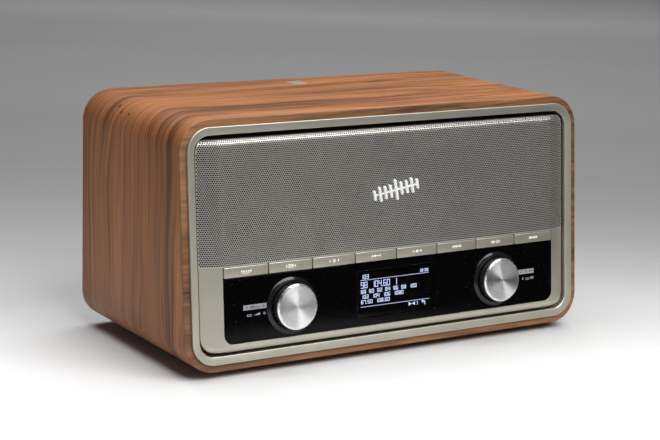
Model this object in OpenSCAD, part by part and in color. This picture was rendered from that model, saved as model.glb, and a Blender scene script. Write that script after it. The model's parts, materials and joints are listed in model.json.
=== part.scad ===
// Tabletop radio: wooden cabinet with a leaning metal front, two knobs, eight keys,
// two drivers behind a pierced grille and a folding telescopic aerial at the back.
// Millimetres, +Z up, front facing -Y, origin on the floor at the middle of the outline.

/* [Cabinet] */
// Width over the wooden sides
body_w = 300; // [240:1:380]
// Height of the wooden cabinet without its feet
body_h = 152.4; // [130:0.1:200]
// Depth of the cabinet along its underside
body_d = 147.5; // [110:0.5:220]
// Radius of the four long outer corners
corner_r = 19.6; // [14:0.1:26]
// Thickness of the wooden wall
wall_t = 10; // [8:0.5:14]
// How far the front leans back, in degrees
rake = 5.5; // [0:0.1:9]
// Height of the rubber feet
foot_h = 5; // [3:0.5:12]
// Radius of a rubber foot
foot_r = 9; // [6:0.5:12]
// Distance of the foot centres from the cabinet's sides
foot_inset = 30; // [22:1:60]

/* [Front frame] */
// Width of the wooden edge seen from the front
edge_w = 4.5; // [3:0.1:7]
// Width of the satin metal bezel
bezel_w = 5.1; // [3:0.1:7]
// How far the bezel stands out of the wooden edge
bezel_out = 2; // [0:0.1:4]
// Dark gap between the bezel and each side of the raised insert
insert_gap = 1.5; // [1:0.1:4]
// How far the flat of the insert stands out of the wooden edge
insert_out = 5; // [3:0.1:9]
// Width of the slope at each side of the insert
slope_w = 13.1; // [6:0.1:20]
// Depth that each side slope falls
slope_fall = 6.2; // [3:0.1:9]
// Radius of the rounded top edge of the insert
top_round = 3.7; // [1.5:0.1:5]
// Radius of the rounded lower edge of the insert
low_round = 4.2; // [1.5:0.1:5]
// Height of the insert's rim below the dark panel
lip_h = 5.2; // [3:0.1:9]

/* [Panel and keys] */
// Height of the dark control panel
panel_h = 40.3; // [34:0.1:60]
// Thickness of the dark control panel
panel_t = 2.5; // [1.5:0.1:4]
// Number of keys in the row
key_count = 8; // [8:1:8]
// Height of the row of keys
key_h = 6.4; // [4.5:0.1:10]
// Gap around each key
key_gap = 0.35; // [0.3:0.05:0.8]
// How far a key travels
key_travel = 0.8; // [0.4:0.1:1.2]
// Width of the display's clear lens
lens_w = 60; // [40:1:80]
// Height of the display's clear lens
lens_h = 30; // [20:1:32]

/* [Knobs] */
// Distance of each knob's axis from the middle of the front
knob_x = 78.3; // [60:0.1:100]
// Radius of a knob
knob_r = 14.2; // [10:0.1:18]
// Height of a knob from its lower edge to its face
knob_h = 6.8; // [5:0.1:16]
// Radius of the spindle
spindle_r = 3; // [2:0.1:4]
// How far a knob can be pressed in
knob_travel = 0.6; // [0.3:0.1:1]

/* [Drivers] */
// Radius of a driver's mounting flange
driver_r = 32.5; // [26:0.5:36]
// Distance of each driver from the middle of the front
driver_x = 84; // [60:1:100]

/* [Back] */
// Radius of the opening of the bass port
port_r = 14; // [8:0.5:20]
// Length of the bass port's tube
port_len = 62; // [30:1:90]
// Length of the aerial when it is pushed together
aerial_len = 176; // [100:1:230]

/* [Hidden] */
$fn = 72;
skin = 0.8;            // sheet of the pierced grille
fit = 0.2;             // gap between parts that are set into each other
air = 0.3;             // gap between parts that move past each other
run = 0.05;            // radial gap of a running fit
big = 400;             // reach of the cutting blocks
rebate_d = 7.6;        // depth of the front rebate in the wood
lipping_t = 1.4;       // thickness of the lipping around the front edge
baffle_t = 6.4;        // thickness of the baffle
rim_t = 2;             // wall of the baffle's grille rim
rear_edge = 6;         // wooden edge left around the rear panel
rear_t = 3;            // thickness of the rear panel
rear_sunk = 0.5;       // how far the rear panel sits below the edge

front_len = body_h / cos(rake);
bezel_r = corner_r - edge_w;
insert_w = body_w - 2 * (edge_w + bezel_w + insert_gap);
insert_lo = edge_w + bezel_w + insert_gap + 0.5;
insert_hi = front_len - insert_lo - 0.7;
insert_r = 10;         // radius of the insert's corners
flat_w = insert_w - 2 * slope_w;
slope_a = atan2(slope_fall, slope_w);
panel_w = flat_w - 0.8;
panel_lo = insert_lo + lip_h;
panel_hi = panel_lo + panel_h;
keys_hi = panel_hi + key_h + 2 * key_gap;
seam = keys_hi;
key_pitch = panel_w / key_count;
panel_back = insert_out - panel_t;
panel_mid = (panel_lo + panel_hi) / 2;
knob_s = panel_mid - 0.8;
knob_base = insert_out + knob_travel + 2 * air;
knob_top = knob_base + knob_h;
cap_t = 1.25;          // thickness of the knob's bright cap
cap_bevel = 0.9;       // bevel around the cap
knob_wall = 2.2;       // wall of the knob's skirt
ring_w = 3.2;          // width of the ring around a knob's foot
ring_h = 1.1;          // height of that ring
bush_r = spindle_r + 1.1;
bush_top = insert_out + 2.2;
nut_r = bush_r + 2.4;
nut_h = 1.8;
hub_r = spindle_r + 2.6;
hub_base = bush_top + knob_travel + 2 * air;
board_t = 1.6;
board_top = -rebate_d - 0.4;
encoder_w = 13;
encoder_top = board_top + 8.2;
plunger_r = 3.8;
plunger_h = 2;
plunger_lo = board_top + 0.5 + knob_travel + air;
key_top = insert_out + 0.25;
key_t = 2.6;
stem_w = 18;
stem_h = 2.6;
stem_end = key_top - key_t - 5.2;
carrier_top = key_top - key_t - key_travel - air;
carrier_t = 3.4;
switch_top = stem_end - key_travel - air;
lens_t = 1.4;
lens_step = 1.2;
driver_s = (seam + insert_hi) / 2 - 0.8;
cloth_t = 0.6;
cloth_top = insert_out - skin - 0.6;
rim_w = flat_w - 6;
rim_lo = seam + 2.4;
rim_hi = insert_hi - top_round - 1.4;

aerial_x = body_w / 2 - 32;
aerial_z = foot_h + body_h - 24;
aerial_boss = 6;
aerial_disc = 1.6;
lug_r = 3.4;
cheek_t = 2.2;
tilt_off = aerial_boss + air + aerial_disc + air + 0.2 + lug_r;
aerial_reach = tilt_off + lug_r + 0.6;
tube_r = [3.4, 2.6, 1.8];
tube_gap = run;
head_l = 5;

front_over = knob_top * cos(rake) - (knob_s - knob_r + cap_bevel) * sin(rake);
total_d = front_over + body_d + aerial_reach;
front_y = front_over - total_d / 2;
rear_y = front_y + body_d;
deck_y = rear_y - rear_sunk - rear_t;
floor_z = foot_h + wall_t;
board_z = floor_z + 6;
board_w = 124;
board_d = 74;
board_y = deck_y - board_d / 2 - 1;
socket_z = board_z + board_t + 4.5;

wood = [0.62, 0.40, 0.26];
wood_edge = [0.55, 0.38, 0.26];
satin = [0.62, 0.60, 0.54];
grey = [0.45, 0.44, 0.41];
black = [0.05, 0.05, 0.05];
bright = [0.85, 0.85, 0.86];
dark_metal = [0.16, 0.16, 0.17];
rubber = [0.09, 0.09, 0.09];
fabric = [0.03, 0.03, 0.03];
board_green = [0.07, 0.28, 0.14];
paper = [0.13, 0.13, 0.14];
steel = [0.6, 0.61, 0.63];

// Local frame of the front: x to the right, y up the slope, z out of the front.
module at_front() {
  translate([0, front_y, foot_h]) rotate([90 - rake, 0, 0]) children();
}

// Local frame of the back: x to the left seen from the front, y up, z backwards.
module at_rear() {
  translate([0, rear_y, foot_h]) rotate([90, 0, 180]) children();
}

// Rounded rectangle standing on y = lo and reaching y = hi.
module outline(w, lo, hi, r) {
  translate([-w / 2 + r, lo]) square([w - 2 * r, hi - lo]);
  translate([-w / 2, lo + r]) square([w, hi - lo - 2 * r]);
  for (x = [-1, 1], y = [lo + r, hi - r])
    translate([x * (w / 2 - r), y]) circle(r = r);
}

// A slab of the front between two heights above the wooden edge.
module slab(w, lo, hi, r, from, to) {
  translate([0, 0, from]) linear_extrude(to - from) outline(w, lo, hi, r);
}

// A box given by its two corners.
module block(a, b) {
  translate(a) cube(b - a);
}

// Sweeps a profile around a rounded rectangle centred on the origin.
module frame_sweep(w, h, r) {
  for (turn = [0, 180]) rotate([0, 0, turn]) {
    translate([w / 2 - r, 0, 0]) rotate([90, 0, 0])
      linear_extrude(h - 2 * r, center = true) children();
    translate([0, h / 2 - r, 0]) rotate([90, 0, 90])
      linear_extrude(w - 2 * r, center = true) children();
    translate([w / 2 - r, h / 2 - r, 0]) rotate_extrude(angle = 90) children();
    translate([r - w / 2, h / 2 - r, 0]) rotate([0, 0, 90])
      rotate_extrude(angle = 90) children();
  }
}

// The raised insert, shrunk by t on every outer face.
module insert_form(t = 0) {
  fold = t * tan(slope_a / 2);
  drop = t / cos(slope_a) - t * tan(slope_a);
  half = insert_w / 2;
  top = insert_out - t;
  intersection() {
    slab(insert_w - 2 * t, insert_lo + t, insert_hi - t, insert_r - t, -rebate_d, insert_out + 1);
    translate([0, front_len / 2, 0]) rotate([90, 0, 0]) linear_extrude(front_len, center = true)
      polygon([[t - half, -rebate_d], [t - half, insert_out - slope_fall - drop],
               [fold - flat_w / 2, top], [flat_w / 2 - fold, top],
               [half - t, insert_out - slope_fall - drop], [half - t, -rebate_d]]);
    rotate([90, 0, 90]) linear_extrude(insert_w + 2, center = true) {
      r = top_round - t * 0.5;
      e = low_round - t;
      lo = insert_lo + t;
      hi = insert_hi - t;
      translate([lo, -rebate_d]) square([hi - lo - r, top - e + rebate_d]);
      translate([lo + e, -rebate_d]) square([hi - lo - e, top - r + rebate_d]);
      translate([lo + e, -rebate_d]) square([hi - lo - r - e, top + rebate_d]);
      translate([hi - r, top - r]) circle(r = r);
      translate([lo + e, top - e]) circle(r = e);
    }
  }
}

// Dark panel outline with rounded lower corners, grown by g.
module panel_outline(g, hi) {
  r = 6.5;
  lo = panel_lo - g;
  w = panel_w + 2 * g;
  translate([-w / 2 + r, lo]) square([w - 2 * r, hi - lo]);
  translate([-w / 2, lo + r]) square([w, hi - lo - r]);
  for (x = [-1, 1]) translate([x * (w / 2 - r), lo + r]) circle(r = r);
}

module cabinet_form(inset, from, to) {
  translate([0, from, foot_h]) rotate([90, 0, 180]) linear_extrude(to - from)
    outline(body_w - 2 * inset, inset, body_h - inset, corner_r - inset);
}

// Plate set into the top, near its rear edge.
plate_w = 11;
plate_l = 12;
plate_y = rear_y - 19.2;
plate_t = 1;

module shell() {
  color(wood) difference() {
    cabinet_form(0, front_y - 1, rear_y);
    cabinet_form(wall_t, front_y - 2, rear_y + 1);
    cabinet_form(rear_edge, rear_y - rear_sunk - rear_t, rear_y + 1);
    at_front() translate([-big / 2, -big / 2, -lipping_t]) cube([big, big, big]);
    at_front() slab(body_w - 2 * edge_w, edge_w, front_len - edge_w, bezel_r, -rebate_d, big);
    translate([0, plate_y, foot_h + body_h]) cube([plate_w + fit, plate_l + fit, 1.6], center = true);
    for (p = feet_at()) translate([p[0], p[1], foot_h - 1])
      cylinder(r = 1.4, h = wall_t - 1);
  }
}

// The cross-grain lipping glued around the front edge of the wood.
module front_lipping() {
  color(wood_edge) difference() {
    intersection() {
      cabinet_form(0, front_y - 1, rear_y - 30);
      at_front() translate([-big / 2, -big / 2, -lipping_t]) cube([big, big, lipping_t]);
    }
    at_front() slab(body_w - 2 * edge_w, edge_w, front_len - edge_w, bezel_r, -rebate_d, big);
  }
}

block_w = 12;

// Blocks glued into the corners: the baffle and the rear panel are screwed to them.
module glue_blocks() {
  x = body_w / 2 - wall_t - block_w;
  color(wood_edge) for (sx = [-1, 1], z = [floor_z + 9.6, foot_h + body_h - wall_t - 9.6 - block_w]) {
    difference() {
      translate([sx > 0 ? x : -x - block_w, deck_y - 18, z]) cube([block_w, 18, block_w]);
      translate([sx * (x + block_w / 2), deck_y + 1, z + block_w / 2]) rotate([90, 0, 0])
        cylinder(r = 1.2, h = 13);
    }
    at_front() {
      s = z > body_h / 2 ? front_len - wall_t - 9.6 - block_w - 2 : wall_t + 12;
      translate([sx > 0 ? x : -x - block_w, s, -rebate_d - baffle_t - 14])
        cube([block_w, block_w, 14]);
    }
  }
}

module top_plate() {
  color(satin) translate([-plate_w / 2, plate_y - plate_l / 2, foot_h + body_h - 0.8])
    cube([plate_w, plate_l, plate_t]);
}

function feet_at() = [for (x = [-1, 1], y = [front_y + foot_inset, rear_y - foot_inset])
  [x * (body_w / 2 - foot_inset), y]];

module feet() {
  color(rubber) for (p = feet_at()) translate([p[0], p[1], 0]) rotate_extrude()
    polygon([[2.4, 2], [3.6, 2], [3.6, 0], [foot_r - 1, 0], [foot_r - 0.4, 0.6],
             [foot_r, foot_h], [1.5, foot_h], [1.5, 3.4], [2.4, 3.4]]);
}

module foot_screws() {
  color(steel) for (p = feet_at()) translate([p[0], p[1], 0]) difference() {
    union() {
      translate([0, 0, 1.7]) cylinder(r = 2.3, h = 1.6);
      translate([0, 0, 1.7]) cylinder(r = 1.35, h = foot_h + 5);
    }
    for (a = [0, 90]) translate([0, 0, 1.7]) rotate([0, 0, a])
      cube([2.8, 0.6, 1.2], center = true);
  }
}

module bezel() {
  w = body_w - 2 * edge_w - 2 * 0.05;
  h = front_len - 2 * edge_w - 2 * 0.05;
  r = bezel_r;
  color(satin) at_front() translate([0, front_len / 2, 0]) frame_sweep(w, h, r)
    polygon([[r, -rebate_d], [r, bezel_out - 0.5], [r - 0.5, bezel_out],
             [r - bezel_w + 1, bezel_out - 0.15], [r - bezel_w, bezel_out - 0.9],
             [r - bezel_w, -rebate_d]]);
}

module baffle() {
  lo = wall_t + 2;
  hi = front_len - wall_t - 0.2;
  back = -rebate_d - baffle_t;
  color(black) at_front() difference() {
    union() {
      slab(body_w - 2 * wall_t - 2 * fit, lo, hi, corner_r - wall_t + 1, back, -rebate_d);
      difference() {
        slab(rim_w, rim_lo, rim_hi, 3, -rebate_d, cloth_top - cloth_t);
        slab(rim_w - 2 * rim_t, rim_lo + rim_t, rim_hi - rim_t, 2, -rebate_d - 1, big);
        // the rim gives way to the flanges of the drivers
        for (x = [-1, 1]) translate([x * driver_x, driver_s, -rebate_d])
          cylinder(r = driver_r + air, h = big);
      }
    }
    for (x = [-1, 1]) translate([x * driver_x, driver_s, back - 1])
      cylinder(r = driver_r - 4, h = baffle_t + 2);
    for (x = [-1, 1], a = [45:90:315])
      translate([x * driver_x, driver_s, -rebate_d - 5]) rotate([0, 0, a])
        translate([driver_r - 2.6, 0, 0]) cylinder(r = 0.9, h = 6);
    slab(panel_w - 8, panel_lo - 1, seam + 1, 3, back - 1, 1 - rebate_d);
  }
}

module grille() {
  color(grey) at_front() intersection() {
    difference() {
      insert_form();
      insert_form(skin);
    }
    translate([-big / 2, seam, -rebate_d]) cube([big, front_len, big]);
  }
}

module grille_cloth() {
  color(fabric) at_front()
    slab(rim_w, rim_lo, rim_hi, 3, cloth_top - cloth_t, cloth_top);
}

bar_pitch = 4.1;
bar_count = 9;
bar_r = 0.95;
emblem_s = (seam + insert_hi) / 2 - 1.25;
// Height of each bar follows a wave that dies away to both ends.
function bar_half(i) = 1.7 + 4.1 * abs(cos(i * 62)) * (1 - abs(i) / 7);

module emblem() {
  reach = (bar_count - 1) / 2;
  color(bright) at_front() translate([0, emblem_s, insert_out]) rotate([0, 0, 9]) {
    translate([-reach * bar_pitch, -0.5, 0]) cube([2 * reach * bar_pitch, 1, 0.8]);
    for (i = [-reach:reach]) translate([i * bar_pitch, 0, 0]) {
      translate([-bar_r, -bar_half(i), 0]) cube([2 * bar_r, 2 * bar_half(i), 1.6]);
      for (e = [-1, 1]) translate([0, e * bar_half(i), 0]) cylinder(r = bar_r, h = 1.6);
    }
  }
}

module fascia() {
  wall = 2.2;
  color(satin) at_front() difference() {
    union() {
      intersection() {
        difference() {
          insert_form();
          insert_form(wall);
        }
        translate([-big / 2, 0, -rebate_d]) cube([big, seam, big]);
      }
      // shelf that carries the dark panel
      intersection() {
        slab(insert_w - 2 * wall, insert_lo + wall, seam, 3, panel_back - 2, panel_back);
        insert_form(1);
      }
    }
    translate([0, 0, panel_back]) linear_extrude(big) panel_outline(fit, seam + 1);
    slab(panel_w - 6, panel_lo + 3, seam + 9, 3, -big, big);
    // room below the end keys when they are pressed
    block([-panel_w / 2 - fit, panel_hi, key_top - key_t - key_travel - air],
          [panel_w / 2 + fit, seam + 1, big]);
  }
}

module control_panel() {
  color(black) at_front() difference() {
    translate([0, 0, panel_back]) linear_extrude(panel_t) panel_outline(0, panel_hi);
    for (x = [-1, 1]) translate([x * knob_x, knob_s, 0]) cylinder(r = bush_r + 0.4, h = big);
    slab(lens_w + 2 * 0.1, panel_mid - lens_h / 2 - 0.1, panel_mid + lens_h / 2 + 0.1, 1.6,
      insert_out - lens_t, big);
    slab(lens_w - 2 * lens_step, panel_mid - lens_h / 2 + lens_step,
      panel_mid + lens_h / 2 - lens_step, 1, -1, big);
  }
}

module display_lens() {
  color(dark_metal) at_front()
    slab(lens_w, panel_mid - lens_h / 2, panel_mid + lens_h / 2, 1.5, insert_out - lens_t, insert_out);
}

module display_module() {
  g = panel_back - 0.1;
  lo = panel_mid - lens_h / 2 - 2;
  hi = panel_mid + lens_h / 2 + 2;
  color(black) at_front() {
    slab(lens_w + 6, lo, hi, 1, g - 2.2, g);
    slab(lens_w - 2, lo + 3, hi - 3, 1, board_top, g - 2.2);
  }
}

module key_carrier() {
  color(paper) at_front() difference() {
    block([-panel_w / 2 + 3.4, panel_hi - 2, carrier_top - carrier_t],
          [panel_w / 2 - 3.4, seam, carrier_top]);
    block([-panel_w / 2, panel_lo, panel_back - 2 - fit], [panel_w / 2, panel_hi + fit, big]);
    for (i = [0:key_count - 1]) translate([(i + 0.5) * key_pitch - panel_w / 2,
      (panel_hi + seam) / 2, 0])
      cube([stem_w + 2 * air, stem_h + 2 * air, big], center = true);
  }
}

module front_board() {
  color(board_green) at_front() difference() {
    slab(panel_w - 10, panel_lo, seam, 2, board_top - board_t, board_top);
    for (x = [-1, 1], s = [panel_lo + 3.4, panel_hi - 2])
      translate([x * (panel_w / 2 - 8.6), s, board_top - 2]) cylinder(r = 1.5, h = 3);
  }
}

module key_switches() {
  w = 6;
  color(dark_metal) at_front() for (i = [0:key_count - 1])
    translate([(i + 0.5) * key_pitch - panel_w / 2, (panel_hi + seam) / 2 - 0.3, 0]) {
      translate([-w / 2, -w / 2, board_top]) cube([w, w, switch_top - 0.6 - board_top]);
      translate([0, 0, switch_top - 0.7]) cylinder(r = 1.4, h = 0.7);
    }
}

module key(i) {
  x = (i + 0.5) * key_pitch - panel_w / 2;
  s = (panel_hi + seam) / 2;
  half = key_pitch / 2 - key_gap;
  bev = 0.35;
  color(satin) at_front() translate([x, s, 0]) {
    rotate([90, 0, 90]) linear_extrude(2 * half, center = true)
      polygon([[-key_h / 2, key_top - key_t], [-key_h / 2, key_top - bev],
               [bev - key_h / 2, key_top], [key_h / 2 - bev, key_top],
               [key_h / 2, key_top - bev], [key_h / 2, key_top - key_t]]);
    block([-stem_w / 2, -stem_h / 2, stem_end], [stem_w / 2, stem_h / 2, key_top - key_t]);
  }
}

module key_mode() { key(0); }
module key_menu() { key(1); }
module key_info() { key(2); }
module key_back() { key(3); }
module key_preset() { key(4); }
module key_previous() { key(5); }
module key_play() { key(6); }
module key_next() { key(7); }

module knob_rings() {
  a = knob_r + air + 0.1;
  color(dark_metal) at_front() for (x = [-1, 1]) translate([x * knob_x, knob_s, insert_out])
    rotate_extrude() polygon([[a, 0], [a, ring_h - 0.2], [a + 0.3, ring_h],
      [a + 0.9, ring_h], [a + ring_w, 0.35], [a + ring_w, 0]]);
}

module encoders() {
  color(steel) at_front() for (x = [-1, 1]) translate([x * knob_x, knob_s, 0]) difference() {
    union() {
      translate([-encoder_w / 2, -encoder_w / 2, board_top])
        cube([encoder_w, encoder_w, encoder_top - board_top]);
      translate([0, 0, encoder_top]) cylinder(r = bush_r, h = bush_top - encoder_top);
    }
    translate([0, 0, board_top + 0.5]) cylinder(r = plunger_r + 0.6,
      h = encoder_top - board_top - 1.2);
    translate([0, 0, 0]) cylinder(r = spindle_r + run, h = big);
    translate([0, 0, encoder_top - 1]) cylinder(r = spindle_r + run, h = big);
  }
}

module encoder_nuts() {
  color(steel) at_front() for (x = [-1, 1]) translate([x * knob_x, knob_s, insert_out])
    difference() {
      cylinder(r = nut_r, h = nut_h, $fn = 6);
      translate([0, 0, -1]) cylinder(r = bush_r + 0.02, h = nut_h + 2);
    }
}

module knob_cap(x) {
  lip = 0.4;
  color(bright) at_front() translate([x, knob_s, knob_top]) rotate_extrude()
    polygon([[0, -cap_t], [knob_r - lip, -cap_t], [knob_r, lip - cap_t],
             [knob_r, -cap_bevel], [knob_r - cap_bevel, 0], [0, 0]]);
}

module knob_skirt(x, mark) {
  under = knob_top - cap_t;
  color(dark_metal) at_front() translate([x, knob_s, 0]) difference() {
    rotate_extrude() polygon([[spindle_r, hub_base], [hub_r, hub_base], [hub_r, under - 1.6],
      [knob_r - knob_wall, under - 1.6], [knob_r - knob_wall, knob_base],
      [knob_r - 0.5, knob_base], [knob_r, knob_base + 0.5], [knob_r, under],
      [spindle_r, under]]);
    if (mark) translate([-knob_r - 0.6, 0, (knob_base + under) / 2]) rotate([0, 90, 0])
      cylinder(r = 1, h = 1.2);
  }
}

module spindle(x) {
  lo = plunger_lo + plunger_h + air;
  color(steel) at_front() translate([x, knob_s, lo]) difference() {
    cylinder(r = spindle_r, h = knob_top - cap_t - lo);
    translate([-spindle_r, spindle_r - 0.9, hub_base + 0.2 - lo])
      cube([2 * spindle_r, 2, big]);
  }
}

module plunger(x) {
  color(black) at_front() translate([x, knob_s, plunger_lo])
    cylinder(r = plunger_r, h = plunger_h);
}

module volume_cap() { knob_cap(-knob_x); }
module volume_skirt() { knob_skirt(-knob_x, true); }
module volume_spindle() { spindle(-knob_x); }
module volume_plunger() { plunger(-knob_x); }
module select_cap() { knob_cap(knob_x); }
module select_skirt() { knob_skirt(knob_x, false); }
module select_spindle() { spindle(knob_x); }
module select_plunger() { plunger(knob_x); }

// Heights of the driver parts above the baffle's face.
flange_t = 2;
basket_d = 19;
magnet_d = 12;
throat_r = 19;
// The roll of the surround, just inside the flange.
roll_r = 2.2;
roll_at = driver_r - 5.8 - 0.05 - roll_r;

module at_driver(x) {
  at_front() translate([x, driver_s, -rebate_d]) children();
}

module driver_frame(x) {
  rim = driver_r - 4.4;
  color(dark_metal) at_driver(x) difference() {
    rotate_extrude() polygon([[rim - 1.4, 0], [rim - 1.4, flange_t], [driver_r, flange_t],
      [driver_r, 0], [rim, 0], [rim, -6], [throat_r, -basket_d], [9, -basket_d],
      [9, 1.4 - basket_d], [throat_r - 1, 1.4 - basket_d], [rim - 1.4, -5.6]]);
    for (a = [0:60:300]) rotate([0, 0, a]) translate([driver_r - 9, 0, -12])
      cube([12, 12, 8], center = true);
    for (a = [45:90:315]) rotate([0, 0, a]) translate([driver_r - 2.6, 0, -1])
      cylinder(r = 1.5, h = 4);
  }
}

module driver_magnet(x) {
  color(steel) at_driver(x) translate([0, 0, -basket_d - magnet_d])
    difference() {
      union() {
        cylinder(r = 21, h = 2);
        translate([0, 0, 2]) cylinder(r = 22, h = magnet_d - 4);
        translate([0, 0, magnet_d - 2]) cylinder(r = 20, h = 2);
      }
      translate([0, 0, -1]) cylinder(r = 3, h = magnet_d + 2);
    }
}

module driver_cone(x) {
  out = roll_at - roll_r - 0.6;
  t = 0.7;
  cap_a = 8.8;
  neck = -10.2;
  color(paper) at_driver(x) rotate_extrude() {
    polygon([[out - 0.8, 0.2], [out + 0.6, 0.2], [out + 0.6, 0.2 + t], [out - 0.8 - t / 2, 0.2 + t],
      [cap_a - 0.4, neck + t], [cap_a - 0.4, neck]]);
    // domed dust cap
    intersection() {
      difference() {
        translate([0, neck - 8]) circle(r = 12);
        translate([0, neck - 8]) circle(r = 12 - t);
      }
      translate([0, neck - 0.2]) square([cap_a, 12]);
    }
    // voice coil
    translate([cap_a - 0.8, neck - 7]) square([0.8, 7.6]);
  }
}

// Half roll of rubber, with a lip glued to the cone and one glued on the flange.
module driver_surround(x) {
  wall = 0.6;
  foot = 1;
  color(rubber) at_driver(x) rotate_extrude() translate([roll_at, 0]) {
    difference() {
      translate([0, foot]) circle(r = roll_r);
      translate([0, foot]) circle(r = roll_r - wall);
      translate([-4, foot - 8]) square([8, 8]);
    }
    translate([-roll_r - 1, foot]) square([1 + wall, wall]);
    translate([roll_r - wall, foot]) square([wall, flange_t - foot + wall]);
    translate([roll_r - wall, flange_t]) square([2, wall]);
  }
}

module left_frame() { driver_frame(-driver_x); }
module left_magnet() { driver_magnet(-driver_x); }
module left_cone() { driver_cone(-driver_x); }
module left_surround() { driver_surround(-driver_x); }
module right_frame() { driver_frame(driver_x); }
module right_magnet() { driver_magnet(driver_x); }
module right_cone() { driver_cone(driver_x); }
module right_surround() { driver_surround(driver_x); }

module driver_screws() {
  color(steel) for (x = [-1, 1]) at_driver(x * driver_x) for (a = [45:90:315])
    rotate([0, 0, a]) translate([driver_r - 2.6, 0, 0]) {
      translate([0, 0, flange_t]) cylinder(r1 = 2.1, r2 = 1.5, h = 1.1);
      translate([0, 0, -4]) cylinder(r = 0.9, h = 4 + flange_t);
    }
}

rear_w = body_w - 2 * rear_edge - 2 * fit;
rear_lo = rear_edge + fit;
rear_hi = body_h - rear_edge - fit;
port_x = 62;
port_z = 78;
function rear_screw_at() = [for (x = [-1, 1], z = [1, -1])
  [x * (body_w / 2 - wall_t - block_w / 2),
   body_h / 2 + z * (body_h / 2 - wall_t - 9.6 - block_w / 2)]];
inlet_x = -46;
phones_x = 8;
aux_x = 24;

module rear_panel() {
  color(black) at_rear() difference() {
    translate([0, 0, -rear_sunk - rear_t]) linear_extrude(rear_t)
      outline(rear_w, rear_lo, rear_hi, corner_r - rear_edge - fit);
    translate([port_x, port_z, -big / 2]) cylinder(r = port_r + 2.2, h = big);
    for (p = rear_screw_at()) translate([p[0], p[1], -10]) cylinder(r = 1.7, h = 20);
    for (x = [phones_x, aux_x]) translate([x, socket_z - foot_h, -10]) cylinder(r = 3.1, h = 20);
    translate([inlet_x, socket_z - foot_h, -10]) cylinder(r = 4.2, h = 20);
    translate([-aerial_x, aerial_z - foot_h, -10]) cylinder(r = 3.2, h = 20);
    // ventilation slots
    for (i = [-6:6]) translate([i * 5 - 10, 118, -rear_sunk]) cube([2, 14, 20], center = true);
  }
}

module rear_screws() {
  color(steel) at_rear() for (p = rear_screw_at()) translate([p[0], p[1], 0]) difference() {
    union() {
      translate([0, 0, -rear_sunk]) cylinder(r1 = 3, r2 = 2, h = 1.4);
      translate([0, 0, -rear_sunk - rear_t - 8]) cylinder(r = 1.2, h = 8 + rear_t);
    }
    for (a = [0, 90]) translate([0, 0, 1]) rotate([0, 0, a])
      cube([2.6, 0.6, 1.6], center = true);
  }
}

module bass_port() {
  flare = 4;
  color(black) at_rear() translate([port_x, port_z, -rear_sunk]) rotate_extrude() {
    translate([port_r, -port_len]) square([2, port_len]);
    difference() {
      translate([port_r, -1]) square([flare + 2, 2.2]);
      translate([port_r - 0.2, 1.4 + flare * 0.2]) circle(r = 2);
      translate([port_r + 2, -2]) square([8, 2]);
    }
  }
}

module socket_body(w, h, d, hole, depth, nose) {
  difference() {
    union() {
      translate([-w / 2, -h / 2, -rear_sunk - rear_t - d]) cube([w, h, d - 0.1]);
      translate([0, 0, -rear_sunk - rear_t - 0.2]) cylinder(r = nose, h = rear_t + 0.8);
    }
    translate([0, 0, 0.2 - depth]) cylinder(r = hole, h = depth + 5);
  }
}

module power_inlet() {
  color(black) at_rear() translate([inlet_x, socket_z - foot_h, 0]) {
    socket_body(10, 9, 11, 3.2, 11, 4);
    translate([0, 0, -11]) cylinder(r = 1, h = 9.5);
  }
}

module audio_sockets() {
  color(black) at_rear() for (x = [phones_x, aux_x]) translate([x, socket_z - foot_h, 0])
    socket_body(9, 9, 14, 1.8, 14, 2.9);
}

module main_board() {
  color(board_green) translate([0, board_y, board_z]) {
    difference() {
      translate([-board_w / 2, -board_d / 2, 0]) cube([board_w, board_d, board_t]);
      for (p = post_at()) translate([p[0], p[1], -1]) cylinder(r = 1.6, h = 4);
    }
    // round capacitors
    for (i = [0:3]) translate([-46 + 12 * i, -24, board_t]) cylinder(r = 4, h = 13);
    // chips
    for (i = [0:2]) translate([-56 + 15 * i, 4, board_t]) cube([10, 10, 1.4]);
  }
}

function post_at() = [for (x = [-1, 1], y = [-1, 1])
  [x * (board_w / 2 - 5), y * (board_d / 2 - 5)]];

module board_posts() {
  color(steel) for (p = post_at()) translate([p[0], board_y + p[1], floor_z])
    cylinder(r = 2.8, h = board_z - floor_z, $fn = 6);
}

module radio_can() {
  color(steel) translate([18, board_y - 26, board_z + board_t]) cube([34, 26, 7]);
}

module heat_sink() {
  color(dark_metal) translate([-8, board_y + 8, board_z + board_t]) {
    cube([44, 16, 3]);
    for (i = [0:6]) translate([i * 7, 0, 0]) cube([2, 16, 22]);
  }
}

module at_aerial() {
  translate([aerial_x, rear_y - rear_sunk, aerial_z]) rotate([-90, 0, 0]) children();
}

module aerial_base() {
  color(black) at_aerial() difference() {
    union() {
      cylinder(r = 8.5, h = 2);
      cylinder(r = 7, h = aerial_boss + rear_sunk);
      translate([0, 0, -rear_t - 1]) cylinder(r = 3, h = rear_t + 2);
    }
    translate([0, 0, rear_sunk + 2.2]) cylinder(r = 2.4 + run, h = big);
  }
}

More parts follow.
